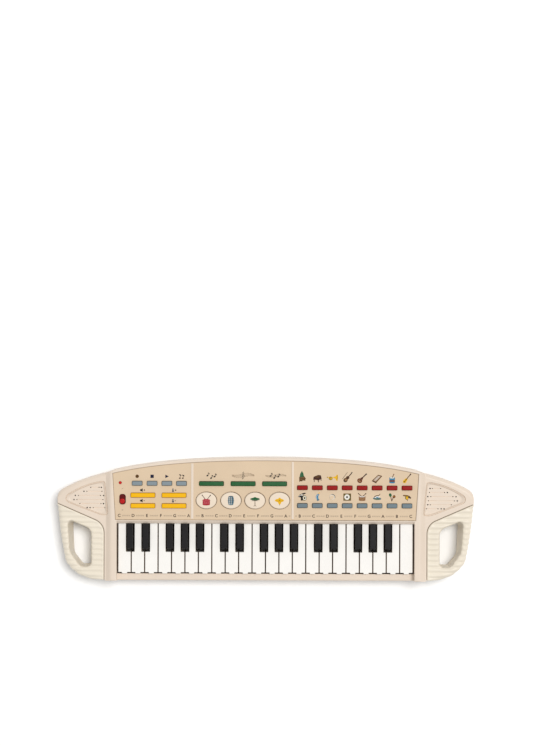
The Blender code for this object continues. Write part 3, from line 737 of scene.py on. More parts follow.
def metal(name, colour, roughness):
    """Plated metal with brushed streaks and duller patches."""
    made, tree, shader = new_material(name)
    shader.inputs["Metallic"].default_value = 1
    tone = toned(tree, colour, 0.8, (noise_field(tree, 300, 4), 0.35, 0.7, 1, 1.1))
    brushed = noise_field(tree, 900, 3, (12, 1, 1))
    join_up(shader, tree, tone, 0.5, (brushed, roughness - 0.08, roughness + 0.12),
            (brushed, 0.00001))
    return made


def circuit_board(name, colour):
    """Green solder mask over copper tracks that show as paler lines."""
    made, tree, shader = new_material(name)
    place = new_node(tree, "TexCoord").outputs["Object"]
    tracks = new_node(tree, "TexBrick", Vector=place, Scale=60, Mortar_Size=0.06, Color1=colour,
                      Color2=tinted(colour, 0.85), Mortar=tinted(colour, 1.9))
    smudge = remap(tree, noise_field(tree, 120, 3), 0.4, 0.7, 0, 0.4)
    tone = blend(tree, smudge, tracks.outputs["Color"], tinted(colour, 0.7))
    join_up(shader, tree, tone, 0.5, (noise_field(tree, 200, 2), 0.25, 0.45),
            (tracks.outputs["Fac"], 0.00002))
    return made


# Colour and roughness of each plastic, and in what it differs from the plainest
PLASTICS = {
    # case: painted highlight lines along its sharp edges (edge 1.16); plastics without an edge entry
    # get a painted highlight of 1.12
    "case": ((235, 219, 202), 0.36, {"edge": 1.16, "edge_paint_width": 0.0009}),
    "case_under": ((228, 213, 196), 0.55, {"grain": 0.00003}),
    "handle": ((241, 231, 213), 0.38, {"ripple": 0.00006}),
    "panel": ((225, 201, 171), 0.48, {"grain": 0.00002}),
    # button caps: painted shade in a darker border round each cap (edge below 1)
    "blue_grey": ((138, 150, 156), 0.34, {"mottle": 0.05, "edge": 0.60, "edge_paint_width": CAP_SHADE_BORDER}),
    "dusk_blue": ((116, 131, 138), 0.34, {"mottle": 0.05, "edge": 0.60, "edge_paint_width": CAP_SHADE_BORDER}),
    "yellow": ((250, 190, 14), 0.32,
               {"mottle": 0.03, "edge": 0.76, "gloss": 0.16, "edge_paint_width": CAP_SHADE_BORDER}),
    "green": ((36, 98, 58), 0.32, {"mottle": 0.06, "edge": 0.70, "edge_paint_width": CAP_SHADE_BORDER}),
    "red": ((158, 28, 28), 0.32, {"mottle": 0.06, "edge": 0.60, "gloss": 0.14, "edge_paint_width": CAP_SHADE_BORDER}),
    # knob: painted highlight along its edges (edge 1.7)
    "knob_red": ((186, 32, 42), 0.22, {"mottle": 0.06, "edge": 1.7}),
    "slot_red": ((112, 12, 20), 0.40, {"mottle": 0.08, "gloss": 0.14}),
    "lamp": ((214, 36, 40), 0.16, {"mottle": 0.04}),
    # pads: faint painted shade along their edges (edge 0.97)
    "cream": ((240, 223, 202), 0.36, {"edge": 0.97}),
    "rail": ((170, 170, 168), 0.5, {}),
}
LOOKS = {key: plastic(f"{key}_plastic", srgb(*tone), roughness, **special)
         for key, (tone, roughness, special) in PLASTICS.items()}
# ivory keys: painted shade in brown on the key sides that face along X, seen in the gaps between keys
LOOKS["ivory"] = key_plastic("ivory_key_plastic", srgb(254, 251, 246), 0.24, 0.010, 0.5, 1.0,
                             "X", (0.6, 0.95), srgb(214, 184, 150))
# black keys: painted highlight along their edges (edge 9) and painted shade on every face that is not
# flat on top
LOOKS["black"] = key_plastic("black_key_plastic", srgb(46, 45, 46), 0.30, 0.10, 0.22, 9.0,
                             "Z", (0.97, 0.85), srgb(22, 20, 22))
LOOKS["board"] = circuit_board("circuit_board", srgb(44, 112, 62))
LOOKS["contact_rubber"] = rubber("contact_rubber", srgb(140, 142, 144))
LOOKS["foot_rubber"] = rubber("foot_rubber", srgb(58, 57, 58))
LOOKS["cone"] = matt("speaker_paper", srgb(46, 46, 48), (1, 2.2), (1100, 5, 0.35, 0.7),
                     (700, 2, 0.75, 0.95), (1600, 4, 0.00004))
LOOKS["screw"] = metal("screw_steel", (0.62, 0.60, 0.57, 1), 0.35)
LOOKS["spring"] = metal("spring_steel", (0.70, 0.68, 0.63, 1), 0.30)

INK_TONES = {
    "dark": (34, 28, 28), "letter": (66, 54, 48), "faint": (172, 154, 134), "navy": (28, 46, 66),
    "brown": (74, 50, 36), "wood": (98, 72, 48), "tan": (156, 118, 84), "chestnut": (112, 60, 42),
    "olive": (112, 100, 52), "sage": (96, 118, 100), "green": (32, 98, 62), "red": (168, 34, 54),
    "pink": (216, 126, 134), "blue": (64, 132, 170), "slate": (92, 120, 132),
    "pale": (240, 236, 226), "gold": (238, 184, 44),
}
INKS = {key: ink(f"{key}_ink", srgb(*tone)) for key, tone in INK_TONES.items()}


# ---------------------------------------------------------------- case

def deck_solid(name, low):
    """Raised middle of the case: sloping sides, soft crest, rounded back edge."""
    foot = quadratic(*DECK_FOOT, 3)
    crest = quadratic(*DECK_CREST, 6)
    rings = [at_height(deck_outline(DECK_FOOT[0][0], 0), low)]
    for side_x, z in foot + crest:
        rise = max(0, z - (DECK_Z - DECK_ROUND))
        drop = DECK_ROUND - math.sqrt(max(0, DECK_ROUND ** 2 - rise ** 2))
        rings.append(at_height(deck_outline(side_x, drop), z))
    return loft(name, rings)


def wing_solid(side, low):
    """Lower end of the case, its outer edge broadly rounded and its seam edge crisp."""
    outline = wing_outline()
    radii = [SEAM_ROUND] * (len(seam()) + 1)
    radii += [WING_ROUND * min(1, (index + 2) / 5) for index in range(len(shoulder()))]
    radii += [WING_ROUND / 2]
    if side < 0:
        outline = flipped(outline)
        radii = radii[::-1]
    return slab("wing", outline, low, WING_Z, top=radii, steps=7)


def case_hollow():
    """Space inside the top case."""
    foot = deck_outline(DECK_FOOT[2][0] - WALL, WALL)
    crest = deck_outline(DECK_CREST[1][0] - WALL, WALL + 0.0002)
    low, high = SPLIT_Z - 0.004, WING_Z - DISH_DEPTH - DISH_FLOOR
    space = loft("hollow", [at_height(foot, low), at_height(foot, WING_Z - WALL + GAP),
                            at_height(crest, DECK_Z - WALL)])
    wing = inset(wing_outline(), WALL)
    return union(space, slab("wing", wing, low, high), slab("wing", flipped(wing), low, high))


def rail_space():
    """Space in front of and above the keys, which leaves a rail with a rounded edge."""
    arc = [(FRONT_Y + RAIL_ROUND * inward, RAIL_TOP_Z - RAIL_ROUND * down)
           for inward, down in quarter(6)]
    profile = [(0, RAIL_TOP_Z), (0, FAR), (-FAR, FAR), (-FAR, arc[0][1])] + arc
    return extruded("rail_space", profile, -KEYBED_X, KEYBED_X)


def cheek_edges():
    """Cutter that rounds the upper inner edges of the cheeks beside the keys."""
    steps = [(0, WING_Z)]
    steps += [(CHEEK_ROUND * inward, DECK_Z - CHEEK_ROUND * down) for inward, down in quarter(5)]
    steps.append((CHEEK_ROUND, DECK_Z + 0.01))
    return loft("cheek_edges", [at_height(rectangle(-KEYBED_X - out, KEYBED_X + out, -FAR,
                                                    FALLBOARD_Y), z) for out, z in steps])


def shrunk(outline, centre, distance):
    """Outline drawn in towards a centre, by about the distance given."""
    share = 1 - distance / DISH_REACH
    return [(centre[0] + share * (x - centre[0]), centre[1] + share * (y - centre[1]))
            for x, y in outline]


def dish_cutter():
    """Both speaker dishes: a sloping wall, and a fine groove round the rim."""
    floor = WING_Z - DISH_DEPTH
    rim = [(drawn_in, WING_Z + rise) for drawn_in, rise in DISH_RIM]
    solids = []
    for side in (-1, 1):
        outline = dish_outline() if side > 0 else flipped(dish_outline())
        centre = (side * DISH_CENTRE[0], DISH_CENTRE[1])
        slope = [at_height(shrunk(outline, centre, DISH_SLOPE + 0.0004), floor),
                 at_height(shrunk(outline, centre, DISH_SLOPE - 0.0004), floor + 0.0001)]
        solids.append(slope + stacked(outline, *rim))
    return loft("dishes", *solids)


def grille_cutters():
    """Shallow slots in the dish floors, and the round holes at their ends."""
    floor = WING_Z - DISH_DEPTH
    slots, dots = [], []
    for y, inner, outer, dot_xs in GRILLE_ROWS:
        low, high = (inner, y - GRILLE_SLOT / 2), (outer, y + GRILLE_SLOT / 2)
        slot = rounded_box(low, high, GRILLE_SLOT / 2 - 0.00002, 5)
        slots += [slot, flipped(slot)]
        dots += [circle((side * x, y), GRILLE_DOT, 12) for x in dot_xs for side in (-1, 1)]
        dots += [circle((side * x, y), GRILLE_TIP[1], 12)
                 for x in (inner + GRILLE_TIP[0], outer - GRILLE_TIP[0]) for side in (-1, 1)]
    flares = [flared_rings(slot, floor - GRILLE_SLOT_DEPTH, floor + 0.00002, 0.00015)
              for slot in slots]
    return [loft("slots", *flares), slabs("dots", dots, floor - 0.004, floor + 0.003)]


def fallboard():
    """Bar across the case above the backs of the keys, sloping down towards the player."""
    back_y = PANEL_FRONT_Y - 0.0001
    profile = [(back_y, DECK_Z - 0.0001), (back_y - 0.0002, DECK_Z), (back_y - 0.0006, DECK_Z),
               (back_y - 0.0010, DECK_Z - 0.0002), (FALLBOARD_Y + 0.0003, DECK_Z - 0.0031),
               (FALLBOARD_Y, DECK_Z - 0.0035), (FALLBOARD_Y, DECK_Z - 0.0052),
               (-0.0038, DECK_Z - 0.0052), (back_y, DECK_Z - 0.0024)]
    return extruded("fallboard", profile, -KEYBED_X - 0.0015, KEYBED_X + 0.0015)


def keybed_walls():
    """Wall behind the front rail, and the cheeks at both ends of the keys."""
    rail_x = (-KEYBED_X - MERGE, KEYBED_X + MERGE)
    rail_wall = box("rail_wall", rail_x, (KEYBED_FRONT_Y - RAIL_WALL, KEYBED_FRONT_Y),
                    (KEYBED_LOW_Z, RAIL_TOP_Z - MERGE))
    cheek_y = (FRONT_Y + 1.5 * MERGE, CHEEK_END_Y)      # from inside the front wall
    cheek_z = (KEYBED_LOW_Z, DECK_Z - 2 * MERGE)
    left = box("left_cheek", (-KEYBED_X - CHEEK_WALL, -KEYBED_X), cheek_y, cheek_z)
    right = box("right_cheek", (KEYBED_X, KEYBED_X + CHEEK_WALL), cheek_y, cheek_z)
    return rail_wall, left, right


def make_top_case():
    low = SPLIT_Z - 0.002
    case = deck_solid("top_case_shell", low)
    union(case, wing_solid(1, low), wing_solid(-1, low))
    cut(case, case_hollow())
    rail = box("rail", (-KEYBED_X - MERGE, KEYBED_X + MERGE), (FRONT_Y + MERGE, KEYBED_FRONT_Y),
               (RAIL_TOP_Z - 0.0022, RAIL_TOP_Z + 0.001))
    union(case, rail)
    cut(case, box("below", (-FAR, FAR), (-FAR, FAR), (0, SPLIT_Z + GAP)),
        box("keybed", (-KEYBED_X, KEYBED_X), (KEYBED_FRONT_Y, FALLBOARD_Y), (0, FAR)),
        loft("panel_hole", flared_rings(panel_outline(0), WING_Z, DECK_Z, 0.0006)),
        rail_space(), cheek_edges(), dish_cutter(), *grille_cutters())
    union(case, *keybed_walls(), fallboard())
    finish_piece(case, LOOKS["case"], "case", ["top_case"])


def door_space():
    """Opening for the battery door, wider above for the tongues along its sides."""
    low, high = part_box("battery_door")
    room = GAP - DOOR_TONGUE
    lower = box("lower", (low.x - room, high.x + room), (low.y - GAP, FAR),
                (0, FLOOR_TOP + 0.0001))
    upper = box("upper", (low.x - GAP, high.x + GAP), (low.y - GAP, FAR),
                (TONGUE_Z - GAP, FLOOR_TOP + 0.0001))
    return lower, upper


def battery_surround():
    """Low raised frame moulded round the battery door."""
    low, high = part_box("battery_door")
    outline = rounded_box((low.x - DOOR_FRAME, low.y - DOOR_FRAME),
                          (high.x + DOOR_FRAME, BAY_SPACE[1][1]), 0.0030)
    return slab("surround", outline, FOOT_HEIGHT - 0.0006, FOOT_HEIGHT + MERGE, bottom=0.0004,
                steps=2)


def well_rings(centre):
    """Screw well, opening out a little at the face it is cut into."""
    wide = circle(centre, SCREW_WELL_RADIUS + 0.0006)
    narrow = circle(centre, SCREW_WELL_RADIUS)
    return [at_height(wide, 0), at_height(wide, FOOT_HEIGHT),
            at_height(narrow, FOOT_HEIGHT + 0.0006), at_height(narrow, WELL_TOP_Z)]


def make_bottom_case():
    case = slab("bottom_case_shell", case_outline(), FOOT_HEIGHT, SPLIT_Z,
                bottom=CASE_BOTTOM_ROUND, steps=5)
    cut(case, slab("hollow", inset(case_outline(), WALL), FLOOR_TOP, SPLIT_Z + 0.002))
    feet = slabs("feet", [circle(centre, FOOT_RADIUS, 32) for centre in FEET],
                 0.0006, FOOT_HEIGHT + MERGE, bottom=0.0004, steps=2)
    bosses = slabs("bosses", [circle(centre, SCREW_BOSS_RADIUS) for centre in SCREWS],
                   FLOOR_TOP - MERGE, SCREW_BOSS_TOP_Z, top=0.0005, steps=2)
    bay = box("bay", *BAY[:2], (FLOOR_TOP - MERGE, BAY[2]))
    union(case, feet, bosses, bay, battery_surround())
    bay_space = box("bay_space", *BAY_SPACE[:2], (FLOOR_TOP + 0.00005, BAY_SPACE[2]))
    recesses = slabs("recesses", [circle(centre, FOOT_RADIUS - 0.0013, 32) for centre in FEET],
                     0, FOOT_HEIGHT)
    wells = loft("wells", *[well_rings(centre) for centre in SCREWS])
    cut(case, bay_space, *door_space(), recesses, wells, vent_slots())
    finish_piece(case, LOOKS["case_under"], "case", ["bottom_case"])


def vent_slots():
    """Rows of sound slots in the underside, below the speakers."""
    slots = []
    x, first_y = VENT_START
    for row in range(VENT_ROWS):
        y = first_y + VENT_PITCH * row
        reach = 0.0100 - 0.0014 * abs(row - VENT_ROWS // 2)
        slots.append(rounded_box((x - reach, y - VENT_HALF), (x + reach, y + VENT_HALF),
                                 VENT_HALF - 0.00002))
    return slabs("vents", [flipped(slot) for slot in slots] + slots, 0, FLOOR_TOP + MERGE)


def make_feet():
    """Rubber pad in each foot's recess."""
    radius = FOOT_RADIUS - 0.0016
    profile = [(0, 0), (radius - 0.0010, 0), (radius - 0.0003, 0.0003), (radius, 0.0010),
               (radius, 0.0019), (0, 0.0019)]
    pads = turned("rubber_feet", profile, FEET, 32)
    finish_piece(pads, LOOKS["foot_rubber"], "case")


def make_screws():
    """Pan-head screws seen from below, each with a cross recess."""
    profile = [(radius, SCREW_Z + rise) for radius, rise in SCREW_HEAD]
    heads = turned("case_screws", profile, SCREWS)
    for half_x, half_y in (SCREW_CROSS, SCREW_CROSS[::-1]):
        arms = [rectangle(x - half_x, x + half_x, y - half_y, y + half_y) for x, y in SCREWS]
        cut(heads, slabs("arms", arms, SCREW_Z - 0.001, SCREW_Z + 0.0009))
    finish_piece(heads, LOOKS["screw"], "case")


def make_battery_door():
    """Sliding cover with tongues along its sides, finger ridges and an arrow."""
    low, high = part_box("battery_door")
    door_x = high.x - DOOR_TONGUE
    door = slab("battery_door_cover", rounded_box((-door_x, low.y), (door_x, high.y), 0.0006, 3),
                low.z, high.z, bottom=0.0004, steps=3)
    union(door, box("tongue", (low.x, high.x), (low.y + 0.002, high.y - 0.002),
                    (TONGUE_Z, high.z - 0.0001)))
    ridges = []
    for row in range(DOOR_RIDGES):
        y = low.y + RIDGE_START + RIDGE_PITCH * row
        ridges.append(rounded_box((-0.0110, y - 0.0006), (0.0110, y + 0.0006), 0.00058, 3))
    arrow = [(-0.0030, low.y + 0.0085), (0.0, low.y + 0.0055), (0.0030, low.y + 0.0085)]
    cut(door, slabs("ridges", ridges, low.z - 0.001, low.z + 0.0006),
        slab("arrow", arrow, low.z - 0.001, low.z + 0.0005))
    finish_piece(door, LOOKS["case_under"], "battery_door", ["battery_door"])


def distance_to(path, point):
    """Distance in plan from a point to the nearest part of a path."""
    best = FAR
    here = Vector(point)
    for start, end in zip(path, path[1:]):
        first, span = Vector(start), Vector(end) - Vector(start)
        share = max(0, min(1, (here - first).dot(span) / span.length_squared))
        best = min(best, (here - first - span * share).length)
    return best


def rib_press(y):
    """How far the grip is sunk at a place along it: broad ridges, narrower grooves."""
    wave = 0.5 - 0.5 * math.cos(2 * math.pi * (y - RIB_START_Y) / RIB_PITCH)
    return RIB_DEPTH * (1 - wave ** 0.5)


def handle_shaft(low_z, high_z):
    """Cutter for the hand hole, flared where it meets the grip's lower and upper face."""
    rim_low = edge_rings(rounded(HAND_HOLE_FOOT, 8), low_z, -HOLE_ROUND, 6, -1)
    rim_high = edge_rings(rounded(HAND_HOLE, 8), high_z, -HOLE_ROUND, 6, 1)
    rings = [[(x, y, 0) for x, y, _ in rim_low[0]]]
    for rim, face_z in ((rim_low, low_z), (rim_high, high_z)):
        rings += [[(x, y, 2 * face_z - z) for x, y, z in ring] for ring in rim]
    rings.append([(x, y, 2 * high_z) for x, y, _ in rim_high[-1]])
    return loft("shaft", rings)


def make_handle(name, side):
    """Carrying handle: soft block with a flared hand hole, ribbed across the grip."""
    low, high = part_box(name)
    edge = [(x + SEAM_GAP, y - SEAM_GAP) for x, y in seam()]
    radii = [min(HANDLE_ROUND, HANDLE_SEAM_ROUND + 0.8 * distance_to(edge, point))
             for point in handle_outline()]
    body = slab(f"{name}_grip", handle_outline(), low.z, high.z, top=radii, bottom=radii, steps=6)
    cut(body, handle_shaft(low.z, high.z))
    soften(body)
    hole, foot = rounded(HAND_HOLE, 8), rounded(HAND_HOLE_FOOT, 8)
    press_ribs(body, hole + hole[:1] + foot + foot[:1])
    ease(body, 2)
    reach = max(abs(low.x), abs(high.x))    # eased ribs swell a hair past the CAD's box
    for vertex in body.data.vertices:
        vertex.co.x = min(vertex.co.x, reach)
    if side < 0:
        body.data.transform(Matrix.Scale(-1, 4, (1, 0, 0)))
        body.data.flip_normals()
    finish_piece(body, LOOKS["handle"], "case", [name], angle=70)


def soften(body):
    """Even, dense skin with all its corners eased."""
    skin = body.modifiers.new("skin", "REMESH")
    skin.mode = "VOXEL"
    skin.voxel_size = VOXEL
    ease(body, 5)


def ease(body, rounds):
    smooth = body.modifiers.new("ease", "SMOOTH")
    smooth.factor = 0.5
    smooth.iterations = rounds
    bake_modifiers(body)


def clamped(value):
    return min(1, max(0, value))


def press_ribs(body, hole):
    """Sink grooves across the grip, shallower on its sides, none at the seam and in the hole."""
    line = seam()
    normals = [vertex.normal.copy() for vertex in body.data.vertices]
    for vertex, normal in zip(body.data.vertices, normals):
        x, y, _ = vertex.co
        fade = clamped((x - SEAM_X - 0.0015) / 0.0025)
        if y > SEAM_CORNER_Y - 0.014:
            fade = min(fade, max(0, (distance_to(line, (x, y)) - 0.0015) / 0.003))
        upright = clamped((0.95 - abs(normal.z)) / 0.45)
        side_fade = min(fade, 0.5, max(0, (distance_to(hole, (x, y)) - 0.0022) / 0.0030))
        fade += (side_fade - fade) * upright
        vertex.co -= normal * rib_press(y) * fade


# ---------------------------------------------------------------- keys

def key_shell(name, corners, low, high, crown_corners, corner_radius, edge):
    """Key body open below, with rounded top edges and an even wall; crown_corners: its top."""
    outer, crown = [rounded([(x, y, corner_radius) for x, y in plan], 2)
                    for plan in (corners, crown_corners)]
    inner, inner_top = [rounded([(x, y, 0.0001) for x, y in inset(plan, KEY_WALL)], 2)
                        for plan in (corners, crown_corners)]
    layers = [at_height(inner_top, high - KEY_WALL), at_height(inner, low), at_height(outer, low)]
    return loft(name, layers + edge_rings(crown, high, edge, 3, 1))


def key_arm(front_y, centre_x):
    """Arm that runs back under the panel and ends in the round knuckle the key turns on."""
    angles = [math.radians(60 - 290 * step / 12) for step in range(13)]
    knuckle = [(PIVOT_Y + KNUCKLE_RADIUS * math.cos(a), PIVOT_Z + KNUCKLE_RADIUS * math.sin(a))
               for a in angles]
    profile = [(front_y, ARM_TOP_Z), (knuckle[0][0], ARM_TOP_Z)] + knuckle
    profile += [(PIVOT_Y - 0.0050, PIVOT_Z + 0.0018), (front_y, PIVOT_Z - 0.0018)]
    return extruded("arm", profile, centre_x - ARM_HALF, centre_x + ARM_HALF)


def key_plunger(centre_x, low_z, top_z):
    """Rod under a key that presses the rubber dome."""
    return box("plunger", (centre_x - PLUNGER_HALF, centre_x + PLUNGER_HALF),
               (PLUNGER_Y - PLUNGER_HALF, PLUNGER_Y + PLUNGER_HALF), (low_z, top_z))


def black_spans():
    """(low x, high x) of every black key, from left to right."""
    boxes = [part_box(f"black_key_{number:02d}") for number in range(1, BLACK_KEYS + 1)]
    return [(low.x, high.x) for low, high in boxes]


def white_corners(low, high, spans):
    """Plan of a white key and its tail's middle: a front tongue, and notches for black keys."""
    corner_y = low.y + TONGUE_LENGTH
    tail_left, tail_right = low.x, high.x
    for span_low, span_high in spans:
        if span_low < low.x < span_high + NOTCH_CLEARANCE:
            tail_left = span_high + NOTCH_CLEARANCE
        if span_low - NOTCH_CLEARANCE < high.x < span_high:
            tail_right = span_low - NOTCH_CLEARANCE
    middle = (low.x + high.x) / 2
    left, right = middle - TONGUE_HALF, middle + TONGUE_HALF
    corners = [(low.x, corner_y), (left, corner_y), (left, low.y), (right, low.y),
               (right, corner_y), (high.x, corner_y)]
    if tail_right < high.x:
        corners += [(high.x, NOTCH_Y), (tail_right, NOTCH_Y)]
    corners += [(tail_right, WHITE_REAR_Y), (tail_left, WHITE_REAR_Y)]
    if tail_left > low.x:
        corners += [(tail_left, NOTCH_Y), (low.x, NOTCH_Y)]
    return corners, (tail_left + tail_right) / 2


def make_key(node, look, shell, arm_y, centre_x):
    """Join a key's shell to its arm and plunger."""
    low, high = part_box(node)
    union(shell, key_arm(arm_y, centre_x), key_plunger(centre_x, low.z, high.z - 0.0008))
    finish_piece(shell, LOOKS[look], node, [node])


def make_white_keys():
    spans = black_spans()
    for number in range(1, WHITE_KEYS + 1):
        node = f"white_key_{number:02d}"
        low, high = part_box(node)
        corners, centre_x = white_corners(low, high, spans)
        shell = key_shell(f"{node}_body", corners, WHITE_LOW_Z, high.z, corners, 0.0005, 0.0004)
        make_key(node, "ivory", shell, WHITE_REAR_Y - ARM_STEP, centre_x)


def make_black_keys():
    for number in range(1, BLACK_KEYS + 1):
        node = f"black_key_{number:02d}"
        low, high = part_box(node)
        left, right = low.x + BLACK_TRIM, high.x - BLACK_TRIM
        corners = rectangle(left, right, low.y, BLACK_REAR_Y)
        crown = rectangle(left + 0.0012, right - 0.0012, low.y + 0.0038, BLACK_REAR_Y)
        shell = key_shell(f"{node}_body", corners, BLACK_LOW_Z, high.z, crown, 0.0006, 0.0005)
        make_key(node, "black", shell, BLACK_REAR_Y - ARM_STEP, (low.x + high.x) / 2)


# ---------------------------------------------------------------- panel and controls

def middle_of(low, high):
    return (low[0] + high[0]) / 2, (low[1] + high[1]) / 2


def panel_holes():
    """Outlines of the holes for the caps, the pads, the power knob and the lamp."""
    holes = [grown_box(low, high, CAP_GAP - CAP_TRIM, 0.0010)
             for node in COMBS for low, high in flat_tops(node)]
    for number in PAD_PRINTS:
        centre, size = pad_place(number)
        holes.append(ellipse(centre, [side + 2 * PAD_RING for side in size], 48))
    x, y = KNOB_SLOT_CENTRE
    half_x, half_y = [side / 2 for side in KNOB_SLOT]
    holes.append(rounded_box((x - half_x, y - half_y), (x + half_x, y + half_y), 0.0032, 6))
    holes.append(circle(LAMP_CENTRE, LAMP_RADIUS + GAP, 20))
    return holes


def make_control_panel():
    panel = slab("control_panel_plate", panel_outline(GAP), PANEL_LOW_Z, PANEL_TOP_Z, top=0.00035,
                 steps=3)
    flange = [(PANEL_FRONT_X + 0.0010, GAP), (PANEL_BACK_X - 0.0006, 0.0500)]
    flange += back_arc(PANEL_BACK_X - 0.0040, PANEL_BORDER - 0.0009)
    union(panel, slab("flange", mirrored(flange), FLANGE_LOW_Z, DECK_Z - WALL - GAP))
    cutters = [flared_rings(hole, 0.030, PANEL_TOP_Z, 0.0003) for hole in panel_holes()]
    cut(panel, loft("holes", *cutters))
    finish_piece(panel, LOOKS["panel"], "case", ["control_panel"])


def make_panel_ribs():
    """Two bars that part the panel's three fields."""
    outlines = []
    for left, right in PANEL_RIBS:
        back_y = back_edge(max(abs(left), abs(right))) - PANEL_BORDER - 0.0009
        outlines.append(rectangle(left + GAP, right - GAP, 0.0006, back_y))
    ribs = slabs("panel_ribs", outlines, PANEL_TOP_Z - 0.0003, RIB_TOP_Z, top=0.0004)
    finish_piece(ribs, LOOKS["case"], "case")


def cap_rings(low, high, z0, z1):
    """Button cap: rounded corners, rounded rim and a slightly crowned top."""
    outline = grown_box(low, high, -CAP_TRIM, 0.0008)
    rings = slab_rings(outline, z0, z1 - 0.0001, top=0.00055)
    return rings + stacked(outline, (0.00075, z1 - 0.00003))


def make_combs():
    """Each row of caps on its thin plate."""
    for node, look in COMBS.items():
        low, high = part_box(node)
        comb = slab(f"{node}_comb", rounded_box((low.x, low.y), (high.x, high.y), 0.0012),
                    low.z, low.z + 0.0012, top=0.0002, steps=2)
        caps = [cap_rings(*corners, low.z + 0.0004, high.z) for corners in flat_tops(node)]
        union(comb, loft("caps", *caps))
        finish_piece(comb, LOOKS[look], node, [node])


def pad_place(number):
    """(centre, size) of a drum pad's oval top."""
    (low, high), = flat_tops(f"drum_pad_{number}")
    return middle_of(low, high), (high[0] - low[0], high[1] - low[1])


def make_drum_pads():
    for number in PAD_PRINTS:
        node = f"drum_pad_{number}"
        low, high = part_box(node)
        centre, size = pad_place(number)
        outline = ellipse(centre, size, 64)
        top_z = high.z - PAD_DROP
        rings = slab_rings(outline, low.z + 0.0004, top_z, top=0.0010, steps=5)
        rings += stacked(outline, *[(drawn_in, top_z + rise) for drawn_in, rise in PAD_CROWN])
        pad = loft(f"{node}_cap", rings)
        flange = ellipse(centre, (high.x - low.x, high.y - low.y), 64)
        union(pad, slab("flange", flange, low.z, low.z + 0.0012))
        finish_piece(pad, LOOKS["cream"], node, [node])


def make_power_switch():
    """Red slide knob with grip ridges on a long base plate that keeps its slot covered."""
    node = "power_switch_knob"
    low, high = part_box(node)
    (top_low, top_high), = flat_tops(node)
    x, y = middle_of(top_low, top_high)
    knob = slab("power_knob", grown_box(top_low, top_high, -KNOB_RING, 0.0024, 6),
                low.z + 0.0005, high.z, top=0.0008)
    grooves = [rectangle(x - 0.01, x + 0.01, y + step - 0.00035, y + step + 0.00035)
               for step in (-0.0016, 0, 0.0016)]
    cut(knob, slabs("grooves", grooves, high.z - 0.0005, high.z + 0.001))
    finish_piece(knob, LOOKS["knob_red"], node, [node])
    base = slab("power_knob_base", rounded_box((low.x, y - 0.0085), (high.x, y + 0.0088), 0.0010),
                low.z, low.z + 0.0009, top=0.0002, steps=2)
    finish_piece(base, LOOKS["slot_red"], node)


def make_lamp():
    """Domed red lens over the board's lamp."""
    radius = LAMP_RADIUS + 0.0001
    top_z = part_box("control_circuit_board")[1].z
    dome = [(radius * math.cos(a), top_z - 0.0011 + 0.0013 * math.sin(a))
            for a in (math.pi / 2 * step / 6 for step in range(6))]
    profile = [(0, LAMP_LOW_Z), (radius, LAMP_LOW_Z)] + dome + [(0, top_z + 0.0002)]
    lens = turned("power_lamp_lens", profile, [LAMP_CENTRE])
    finish_piece(lens, LOOKS["lamp"], "case")


# ---------------------------------------------------------------- printed pictures

def oval(colour, x, y, width, height=None, turn=0):
    height = height or width
    spin = Matrix.Rotation(math.radians(turn), 2)
    points = [spin @ Vector(p) for p in ellipse((0, 0), (width, height), 20)]
    return colour, [(x + p.x, y + p.y) for p in points]


def shape(colour, *points):
    return colour, list(points)


def bar(colour, x0, y0, x1, y1):
    return colour, rectangle(x0, x1, y0, y1)


def line(colour, width, *points):
    """Line of one width through some points."""
    near, away = [], []
    for index, point in enumerate(points):
        before = Vector(points[max(index - 1, 0)])
        after = Vector(points[min(index + 1, len(points) - 1)])
        along = (after - before).normalized()
        aside = Vector((-along.y, along.x)) * width / 2
        near.append(tuple(Vector(point) - aside))
        away.append(tuple(Vector(point) + aside))
    return colour, near + away[::-1]


def curve(colour, width, start, control, end):
    return line(colour, width, *quadratic(start, control, end, 10))


def note(x, y):
    """Quaver: tilted head, stem and flag."""
    return [oval("dark", x - 0.7, y - 1.7, 2.4, 1.8, 25),
            line("dark", 0.5, (x + 0.25, y - 1.5), (x + 0.25, y + 1.9)),
            curve("dark", 0.8, (x + 0.2, y + 1.7), (x + 1.7, y + 1.3), (x + 1.4, y - 0.1))]


def staff(x0, x1, sway, count):
    """Flowing staff lines that swell and narrow along their length."""
    lines = []
    for index in range(count):
        level = (index - (count - 1) / 2) * 1.35
        points = []
        for step in range(21):
            t = step / 20
            x = x0 + (x1 - x0) * t
            open_up = 0.35 + 0.65 * math.sin(math.pi * t)
            points.append((x, level * open_up + sway * math.sin(2 * math.pi * t)))
        lines.append(line("wood", 0.24, *points))
    return lines


def treble_clef():
    """Treble clef: an upright stroke, a spiral round it and a hook at the foot."""
    spiral = []
    for step in range(25):
        t = step / 24
        angle = math.radians(90 + 400 * t)
        reach = 0.5 + 1.5 * t
        spiral.append((reach * math.cos(angle), -0.9 + reach * math.sin(angle)))
    stroke = [(-0.4, 2.4), (-0.3, 3.9), (0.5, 4.4), (0.8, 3.2), (0, 0.8), (-0.2, -1.5),
              (0.1, -3.6), (-0.5, -4.4), (-1.1, -3.9)]
    return [line("dark", 0.42, *spiral), line("dark", 0.42, *stroke),
            oval("dark", -0.9, -3.8, 0.9)]


def drumsticks(spread_x, tip_y, meet_y):
    sticks = []
    for side in (-1, 1):
        sticks.append(line("brown", 0.7, (side * 0.5, meet_y), (side * spread_x, tip_y)))
        sticks.append(oval("brown", side * spread_x, tip_y, 1.3))
    return sticks


def plus():
    return [bar("dark", 0.8, -0.3, 2.8, 0.3), bar("dark", 1.5, -1, 2.1, 1)]


def minus():
    return [bar("dark", 0.8, -0.3, 2.4, 0.3)]


